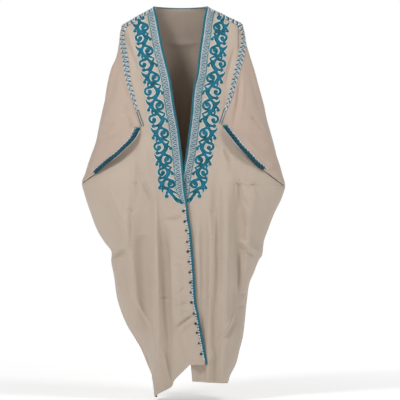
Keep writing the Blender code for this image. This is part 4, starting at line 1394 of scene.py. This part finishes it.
def curl(eye, radius, start, turns, hand, wide, bud):
    """Places along a curl that winds in to its eye and ends in a round bud."""
    places = []
    for t in np.linspace(0, 1, CURL_ROWS):
        r = radius + (bud * 0.3 - radius) * t**CURL_TIGHT
        angle = start + hand * turns * 2 * math.pi * t
        width = wide + (bud - wide) * ease((t - BUD_FROM) / BUD_OVER)
        places.append((eye[0] + r * math.cos(angle), eye[1] + r * math.sin(angle), width))
    return places


def leaf(root, bend, tip, wide, tip_wide=4.2):
    """A leaf like a comma, fullest near its root, with a blunt round tip."""
    line = bent_line(*root, *bend, *tip, count=LEAF_ROWS)
    share = np.linspace(0, 1, LEAF_ROWS)
    width = tip_wide + (wide - tip_wide) * np.cos(share * math.pi / 2) ** LEAF_TAPER
    return np.column_stack([line, width])


def hook(root, bend, tip, wide, bud):
    """A short bent stem that ends in a round bud."""
    rows = leaf(root, bend, tip, wide, wide * 0.7)
    rows[-3:, 2] = wide * 0.8, bud * 0.92, bud
    return rows


def scroll_strokes(seed):
    """Every stroke of one front's scroll, each as rows (away, drop, width)."""
    chance = np.random.default_rng(seed)
    strokes, vine = [], [(VINE + 12, SCROLL_TOP - 2, 4.0), (VINE + 3, SCROLL_TOP + 12, 8.5)]
    for i, (drop, away, radius) in enumerate(VOLUTES):
        s = radius / FULL_RADIUS * np.array([OUT_STRETCH, 1.0])
        shake = chance.uniform(-1.5, 1.5, 8)

        def at(u, v, *width):
            """A place by its distance outward of the vine's middle line and below the eye."""
            return VINE + u * s[0], drop + v * s[1], *width

        if i % 2 == 0:
            sway = SWAY_OUT - 1 + shake[0] * 0.6
            vine += [at(4, -17, 8.5), at(sway, -2, 13.5), at(9, 13, 10.5)]
            places = curl(
                (away, drop), radius * 1.1, -0.36 * math.pi, 1.08 + shake[1] * 0.02, -1, 8.0, 15.0
            )
            strokes += [
                [at(-3, -34, 7.0), at(1, -25, 10.5)] + places[1:],
                leaf(at(11, -6), at(24, -6 + shake[2]), at(28, -19 + shake[3]), 12.5),
                hook(at(10, 4), at(24, 3), at(25 + shake[4] * 0.5, 15), 8.5, 12.0),
                leaf(at(8, 14), at(18, 20), at(15 + shake[6], 32), 10.0),
                leaf(at(4, 17), at(-10, 20), at(-24, 28 + shake[5]), 9.5),
            ]
        else:
            sway = SWAY_IN + 1 + shake[0] * 0.6
            vine += [at(-5, -16, 8.5), at(sway, 0, 13.5), at(-8, 14, 10.0)]
            places = curl(
                (away + 4, drop + 1), radius * 0.96, -0.66 * math.pi, 0.84 + shake[1] * 0.03, 1,
                7.6, 14.0,
            )
            strokes += [
                [at(-3, -28, 7.0), at(4, -20, 10.0)] + places[1:],
                hook(at(-11, -3), at(-25, -8 + shake[2]), at(-27, 5), 7.5, 10.5),
                hook(at(-8, 8), at(2, 24), at(19 + shake[3] * 0.5, 22), 9.5, 12.5),
                leaf(at(-12, -8), at(-20, -12), at(-24, -21 + shake[4]), 8.5),
            ]
    vine += [
        (VINE - 7, 662, 11.0), (VINE - 20, 684, 9.0), (VINE - 36, 699, 7.5),
        (VINE - 47, 706, 16.0),
    ]
    strokes += [
        vine,
        hook((VINE - 10, 668), (VINE + 4, 672), (VINE + 2, 686), 9.0, 14.0),
        leaf((VINE - 22, 684), (VINE - 24, 700), (VINE - 34, 709), 8.0),
        leaf((VINE - 16, 672), (VINE - 26, 668), (VINE - 33, 676), 7.0),
        leaf(
            (VINE + 8, SCROLL_TOP + 4), (VINE + 20, SCROLL_TOP), (VINE + 28, SCROLL_TOP + 12), 9.0
        ),
        curl((VINE - 13, SCROLL_TOP + 7), 8.0, -0.1 * math.pi, 0.8, -1, 6.0, 9.0),
    ]
    return [smooth_path(stroke) * (1, 1, FULLNESS) for stroke in strokes]


# %% [markdown]
# ## Laying the scroll on the cloth
# A stroke is drawn flat, as seen from the front, and then dropped onto the cloth along the line
# of sight. Each becomes a domed ribbon, over a flatter and wider pale one that edges it. The
# satin is painted darker and greener towards its sides and in patches, painted shade for where
# stitches catch less light, and each stitch's crest is painted lighter, a painted highlight.

# %% Lay the scroll
DOME = np.array([0.0, 0.62, 0.92, 1.0, 0.92, 0.62, 0.0])
RIBBON_FOOT, IN_FRONT, NEAR_FRONT = 0.15, -600, -180
SCROLL_SEED, SATIN_PITCH = 31, 0.0011
PATCH_SCALE, PATCH_MIDDLE, PATCH_CONTRAST, STITCH_HIGHLIGHT = 48.0, 0.47, 3.4, 0.18
# The satin's body colour, a darker green painted as shade, and a lighter tone painted as a
# highlight on each stitch's crest.
SATIN, SATIN_SHADE_GREEN = (0.004, 0.16, 0.26, 1), (0.001, 0.055, 0.062, 1)
SATIN_STITCH_HIGHLIGHT = (0.02, 0.34, 0.40, 1)


def seen_from_front(cloth, places):
    """Points of the cloth, and outward directions, straight behind places (x, z)."""
    grid, normals = cloth.points.reshape(-1, 3), cloth.normals.reshape(-1, 3)
    quads = grid_quads(*cloth.points.shape[:2])
    tree = BVHTree.FromPolygons(grid.tolist(), quads.tolist())
    points, outward = [], []
    for x, z in places:
        hit, _, index, _ = tree.ray_cast(Vector((x, IN_FRONT, z)), Vector((0, 1, 0)))
        if hit is None:
            hit, _, index, _ = tree.find_nearest(Vector((x, NEAR_FRONT, z)))
        corners = quads[index]
        weight = 1 / (np.linalg.norm(grid[corners] - np.array(hit), axis=1) + 0.2)
        points.append(hit[:])
        outward.append((normals[corners] * weight[:, None]).sum(axis=0))
    outward = np.array(outward)
    return np.array(points), outward / np.linalg.norm(outward, axis=1, keepdims=True)


def ribbon_places(stroke, side, wider, shares):
    """Places (x, z) side by side along a stroke, as seen from the front."""
    view = np.column_stack([
        table_value(FRONT_EDGES[side], 1, stroke[:, 1]) + side * stroke[:, 0], -stroke[:, 1],
    ])
    along = np.gradient(view, axis=0)
    along /= np.linalg.norm(along, axis=1, keepdims=True)
    half = (stroke[:, 2] / 2 + wider)[:, None, None]
    sideways = np.stack([-along[:, 1], along[:, 0]], axis=-1)[:, None]
    return (view[:, None] + sideways * half * shares[:, None]).reshape(-1, 2)


def ribbons(name, side, strokes, finish, wider, lift, rise):
    """Domed ribbons along strokes, as one piece with a map along and across each."""
    across = len(DOME)
    size, shares = 2 * across, np.linspace(-1, 1, across)
    laid, outward = seen_from_front(front[side], np.concatenate([
        ribbon_places(stroke, side, wider, shares) for stroke in strokes
    ]))
    high = laid + outward * (lift + rise * np.tile(DOME, len(laid) // across))[:, None]
    low = laid + outward * RIBBON_FOOT
    high, low = high.reshape(-1, across, 3), low.reshape(-1, across, 3)[:, ::-1]
    points = np.concatenate([high, low], axis=1).reshape(-1, 3)
    faces, uv, first = [], [], 0
    for stroke in strokes:
        faces += tube_faces(len(stroke), size, first)
        uv.append(strip_map(run_of(stroke[:, :2]) * MM, shares / 2 + 0.5))
        first += len(stroke) * size
    piece = add_piece(name, points, faces, finish, np.concatenate(uv))
    on_top = [k % size < across - 1 for k in range(len(faces))]
    if np.mean([p.normal.y * top for p, top in zip(piece.data.polygons, on_top)]) > 0:
        piece.data.flip_normals()
    print(name, len(strokes), "strokes,", triangles(piece), "triangles")
    return piece


satin, tree, surface = new_finish("scroll_satin", 0.6, Sheen_Weight=0.02, Specular_IOR_Level=0.25)
place = place_on(tree, "UV")
across_it = add_node(tree, "ShaderNodeSeparateXYZ", {0: place}).outputs["Y"]
to_edge = calc(tree, "ABSOLUTE", calc(tree, "SUBTRACT", across_it, 0.5))
stitches = wave(tree, place, SATIN_PITCH, "X")
patchy = noise_value(tree, place_on(tree, "Object"), PATCH_SCALE, 3.0)
patchy = calc(tree, "MULTIPLY", calc(tree, "SUBTRACT", patchy, PATCH_MIDDLE), PATCH_CONTRAST)
# Painted shade: darker and greener towards the sides and in patches.
shade_green = calc(tree, "ADD", calc(tree, "MULTIPLY", to_edge, 2.0), patchy)
colour = blend_colour(tree, shade_green, SATIN, SATIN_SHADE_GREEN)
# Painted highlight: each stitch's crest is lighter.
light = calc(tree, "MULTIPLY", stitches, STITCH_HIGHLIGHT)
colour = blend_colour(tree, light, colour, SATIN_STITCH_HIGHLIGHT)
connect(tree, surface, colour, stitches, 0.5, 0.0004)

# Name, finish, how much wider than the stroke, height of the ribbon's sides, and of its dome.
LAYERS = (("edging", edging_cord, 2.5, 0.2, 0.75), ("satin", satin, 0.0, 0.9, 1.9))
for side, name in SIDE_NAMES.items():
    node = "scroll_" + name
    strokes = scroll_strokes(SCROLL_SEED + side)
    for layer, finish, *sizes in LAYERS:
        ribbon = ribbons(node + "_" + layer, side, strokes, finish, *sizes)
        nodes = [node] if layer == "satin" else []
        dress(ribbon, "scroll_cord", *nodes)

# %% [markdown]
# ## Braid over the shoulder and arm seams
# An openwork silver braid hides the seam from the neck to the arm slit. It is a wide open plait
# over a small close one, and it narrows below the chest to a fine plait between thin dark cords.
# Its rail follows the seam, where front and back meet, and it bends over the shoulder's ridge.

# %% Seam braids
BRAID_NARROW, BRAID_CORDS, BRAID_OVERLAP, BRAID_NARROW_BY = 190.0, 385.0, 8, 0.7
THIN_CORD_REACH, BRAID_SHIFT, BRAID_STEP = 3.9, 8.5, 3.0


def soften(rows, size):
    """Rows averaged with their neighbours, with both ends kept."""
    ends = [np.repeat(row[None], size, axis=0) for row in (rows[0], rows[-1])]
    padded = np.concatenate([ends[0], rows, ends[1]])
    kernel = np.ones(2 * size + 1) / (2 * size + 1)
    return np.stack([np.convolve(line, kernel, "valid") for line in padded.T], axis=-1)


def seam_rail(side):
    """Places along a seam from the neck: point, outward direction, fold, and drop of the ring."""
    panel, (behind, _) = front[side], half_of(back, side)
    top = panel.points.shape[1]
    near = [np.argmin(np.linalg.norm(behind[0, :, :3] - p, axis=1)) for p in panel.points[0]]
    count = int(np.searchsorted(STATIONS, BRAID_END)) + 1
    below = STATIONS[1:count]
    to_front, _ = on_cloth(panel, side, below, panel.distance[1:count, -1] - BRAID_SHIFT)
    points = np.concatenate([panel.points[0], to_front])
    front_out = np.concatenate([panel.normals[1, :], panel.normals[1:count, -3]])
    back_out = np.concatenate([behind[1, near, 3:], behind[1:count, 2, 3:]])
    drop = np.concatenate([np.full(top, STATIONS[0]), below])
    outward = front_out + back_out
    outward /= np.linalg.norm(outward, axis=1, keepdims=True)
    half_angle = np.arccos(np.clip((front_out * back_out).sum(axis=1), -0.2, 1)) / 2
    rows = np.column_stack([points, outward, np.tan(half_angle), drop])
    run = run_of(points)
    rows = sample(rows, run, np.arange(0, run[-1], BRAID_STEP))
    rows[:, :3] = soften(rows[:, :3], 2)
    rows[:, 3:7] = soften(rows[:, 3:7], 5)
    rows[:, 3:6] /= np.linalg.norm(rows[:, 3:6], axis=1, keepdims=True)
    return rows


braid_tree = plait_tree("open_braid", (
    plait(11.6, 3.1, [pale, grey, silver], rise=0.9)
    + plait(4.6, 2.4, [silver, grey], rise=1.2, turns=1.5)
))
thin_tree = plait_tree("thin_cords", (
    rope(1.5, 0.9, grey, offset=-THIN_CORD_REACH, count=2)
    + rope(1.5, 0.9, grey, offset=THIN_CORD_REACH, count=2)
    + plait(1.7, 1.0, [silver, pale], rise=0.4)
))
braid_sizes = {"Pitch": 0.0190, "Step": 0.0012, "Lift": 0.0024}
thin_sizes = {"Pitch": 0.009, "Step": 0.002, "Lift": 0.0012}
for side, name in SIDE_NAMES.items():
    node = "seam_braid_" + name
    rows = seam_rail(side)
    drop = rows[:, 7]
    share = np.clip((drop - BRAID_NARROW) / (BRAID_CORDS - BRAID_NARROW), 0, 1)
    wide = 1 - BRAID_NARROW_BY * share
    high, low = drop <= BRAID_CORDS, drop > BRAID_CORDS - BRAID_OVERLAP
    braid_rail = rail(rows[high, :3], rows[high, 3:6], wide[high], rows[high, 6])
    grow(node + "_openwork", braid_rail, braid_tree, braid_sizes, "silver_braid", node)
    thin_rail = rail(rows[low, :3], rows[low, 3:6], bend=rows[low, 6])
    grow(node + "_thin_cords", thin_rail, thin_tree, thin_sizes, "silver_braid")

# %% [markdown]
# ## Braid along the arm slits
# Each slit is edged by a dark teal braid on the over-arm cloth. It has a white toothed upper edge,
# white piping that peeps out below its middle, and a light cap where the slit begins.

# %% Cuff braids
CUFF_LINES = (0.5, 5.5, 11.0, 16.5, 21.6)
CUFF_CROWN = (1.0, 1.9, 2.1, 1.8, 0.9)
CUFF_MIDDLE, CUFF_EDGE, CUFF_STEP = 9.0, 23.4, 3.0
TOOTH_STEP, TOOTH_RISE = 7.4, 1.6
PIPED_FROM, PIPED_TO, PIPING_OUT = BRAID_END + 14, CUFF_END - 40, 1.7
CAP_DROP, CAP_LENGTH = BRAID_END + 3.0, 18.5
# The ribs' dark teal, and a lighter copy of it painted as a highlight on each rib's crest.
CUFF_RIB, CUFF_DARK, CUFF_RIB_HIGHLIGHT = 0.0022, (0.002, 0.022, 0.035, 1), (0.008, 0.075, 0.10, 1)

cuff_ground, tree, surface = new_finish("cuff_ground", 0.6, Sheen_Weight=0.25)
rib = wave(tree, place_on(tree, "UV"), CUFF_RIB, "X")
# Painted highlight: each rib is lighter on its crest and darker in between.
colour = blend_colour(tree, rib, CUFF_DARK, CUFF_RIB_HIGHLIGHT)
connect(tree, surface, colour, rib, 0.6, 0.0006)
cuff_tree = plait_tree("cuff_threads", (
    plait(5.6, 2.9, [deep_teal, mottled, deep_teal, teal], rise=0.9)
    + rope(1.6, 0.8, deep_teal, offset=-7.2, count=2)
    + plait(1.6, 1.8, [teal, deep_teal, pale], rise=0.9, offset=6.4)
))
piping_tree = plait_tree("piping", rope(1.5, 0.7, pale, count=2))
cap_tree = plait_tree("cap", rope(2.6, 1.4, green_teal, count=2))
tooth_tree = stitch_tree("teeth", pale)
cuff_sizes = {"Pitch": 0.014, "Step": 0.0018, "Lift": 0.0026}
piping_sizes = {"Pitch": 0.006, "Step": 0.002, "Lift": 0.0002}
cap_sizes = {"Pitch": 0.007, "Step": 0.0016, "Lift": 0.0032}
tooth_sizes = {"Length": 0.0042, "Width": 0.0056, "Height": 0.0032, "Roundness": 2}
stations = np.arange(BRAID_END + 2, CUFF_END + 1, CUFF_STEP)
piped = np.arange(PIPED_FROM, PIPED_TO, CUFF_STEP)
toothed = np.arange(BRAID_END + 6, CUFF_END, 0.5)


def cuff_braid(side):
    """One slit's ground, threads, piping, cap and teeth."""
    node = "cuff_braid_" + SIDE_NAMES[side]
    lines = [on_cloth(back, side, stations, distance) for distance in CUFF_LINES]
    dress(strip(node + "_ground", lines, CUFF_CROWN, cuff_ground), "cuff_braid", node)
    middle = [grid[::-side] for grid in on_cloth(back, side, stations, CUFF_MIDDLE)]
    grow(node + "_threads", rail(*middle), cuff_tree, cuff_sizes, "cuff_braid")
    points, outward = on_cloth(back, side, piped, 0.2)
    away = points - on_cloth(back, side, piped, CUFF_STEP)[0]
    away /= np.linalg.norm(away, axis=1, keepdims=True)
    piping_rail = rail(points + away * PIPING_OUT, outward)
    grow(node + "_piping", piping_rail, piping_tree, piping_sizes, "cuff_braid")
    cap_line = on_cloth(back, side, CAP_DROP, np.linspace(0.0, CAP_LENGTH, 12))
    grow(node + "_cap", rail(*cap_line), cap_tree, cap_sizes, "cuff_braid")
    edge = np.hstack(on_cloth(back, side, toothed, CUFF_EDGE))
    run = run_of(edge[:, :3])
    rows = sample(edge, run, np.arange(2, run[-1], TOOTH_STEP))
    along = np.gradient(rows[:, :3], axis=0)
    teeth = stitch_points(rows[:, :3], rows[:, 3:], along, TOOTH_RISE)
    grow(node + "_teeth", teeth, tooth_tree, tooth_sizes, "cuff_braid")


for side in SIDE_NAMES:
    cuff_braid(side)

# %% [markdown]
# ## The lapped edge
# Below the bands the upper front's edge has only its cord, with a pale line of couching beside it
# that is caught down by dark knots, and a row of picots, small buttonhole loops with a bead end.

# %% Couched line, knots and picots
LAP_TOP, LAP_FOOT = 728.0, 1276.0
COUCH_LINE, KNOT_STEPS, KNOT_COUNT = 11.0, (8.0, 10.5), 57
PICOT_COUNT, PICOT_STEP, PICOT_SHAKE = 15, 36.4, 2.5
COUCHING = {"Pitch": 0.008, "Step": 0.002, "Lift": 0.0008}
KNOTS = {"Length": 0.0064, "Width": 0.0032, "Height": 0.0044, "Roundness": 2, "Unevenness": 0.35}
# Name, distance from the edge, and sizes.
PICOTS = (
    ("stems", 14.5, {"Length": 0.0105, "Width": 0.0030, "Height": 0.0030, "Roundness": 2}),
    ("heads", 19.0, {"Length": 0.0075, "Width": 0.0088, "Height": 0.0046, "Roundness": 2}),
)
chance = np.random.default_rng(12)
edge_drop = -front[RIGHT].points[:, 0, 2]


def along_lap(drops, distance):
    """Points beside the lapped edge at true drops, and outward directions."""
    return on_cloth(front[RIGHT], RIGHT, np.interp(drops, edge_drop, STATIONS), distance)


def stitches_on_lap(drops, distance, lift):
    """Stitches that point away from the lapped edge."""
    points, outward = along_lap(drops, distance)
    across = np.cross(outward, np.gradient(points, axis=0))
    return stitch_points(points, outward, across, lift)


line = along_lap(np.arange(LAP_TOP, LAP_FOOT, TRIM_STEP), COUCH_LINE)
couching_tree = plait_tree("couching", rope(1.9, 1.4, pale))
grow("lap_couching", rail(*line), couching_tree, COUCHING, "teal_cord")
drops = np.cumsum(chance.uniform(*KNOT_STEPS, KNOT_COUNT)) + LAP_TOP
knots = stitches_on_lap(drops[drops < LAP_FOOT], COUCH_LINE, 1.2)
grow("lap_knots", knots, stitch_tree("knots", deep_teal), KNOTS, "teal_cord")
drops = LAP_TOP + 10 + np.arange(PICOT_COUNT) * PICOT_STEP
drops = drops + chance.uniform(-PICOT_SHAKE, PICOT_SHAKE, PICOT_COUNT)
picot_tree = stitch_tree("picots", deep_teal)
for name, distance, sizes in PICOTS:
    picots = stitches_on_lap(drops, distance, 1.0)
    grow("lap_picot_" + name, picots, picot_tree, sizes, "teal_cord")

# %% [markdown]
# ## Hem stitches
# A slip stitch about every 7 mm holds the turned hem up. From outside only small pricks show.

# %% Hem stitches
HEM_STITCH_STEP, HEM_STITCH_LIFT = 7.0, 0.15
HEM_STITCH = {"Length": 0.0032, "Width": 0.0009, "Height": 0.0009, "Unevenness": 0.25}
hem_tree = stitch_tree("hem_stitches", hem_thread)
for cloth in PANELS:
    up = above_hem(cloth)[::-1]
    grid = np.concatenate([cloth.points, cloth.normals], axis=2)[::-1]
    rows = np.array([
        [np.interp(HEM_DEPTH, up[:, j], grid[:, j, k]) for k in range(6)]
        for j in range(up.shape[1])
    ])
    run = run_of(rows[:, :3])
    rows = sample(rows, run, np.arange(5, run[-1] - 4, HEM_STITCH_STEP))
    along = np.gradient(rows[:, :3], axis=0)
    stitches = stitch_points(rows[:, :3], rows[:, 3:], along, HEM_STITCH_LIFT)
    grow(cloth.name + "_hem_stitches", stitches, hem_tree, HEM_STITCH, "wool")

# %% [markdown]
# ## The floor
# A plain pale floor a little below the lowest corner of the hem. It glows a little, more so far
# away, where the lamps don't reach, so that it stays as white as the surround.

# %% Floor
FLOOR_DROP, FLOOR_HALF = 1424.0, 30000.0
FLOOR_GLOW = {"From Min": 1.5, "From Max": 7.0, "To Min": 0.38, "To Max": 0.82}
floor_finish, tree, surface = new_finish("floor", 0.9)
surface.inputs["Base Color"].default_value = (0.9, 0.9, 0.9, 1)
surface.inputs["Emission Color"].default_value = (1, 1, 1, 1)
away = add_node(tree, "ShaderNodeVectorMath", {0: place_on(tree, "Object")}, operation="LENGTH")
glow = add_node(tree, "ShaderNodeMapRange", dict(FLOOR_GLOW, Value=away.outputs["Value"]))
tree.links.new(glow.outputs[0], surface.inputs["Emission Strength"])
corners = [
    (x * FLOOR_HALF, y * FLOOR_HALF, -FLOOR_DROP) for x, y in ((-1, -1), (1, -1), (1, 1), (-1, 1))
]
floor = add_piece("floor", corners, [(0, 1, 2, 3)], floor_finish)
print("floor", FLOOR_DROP, "mm below the origin")
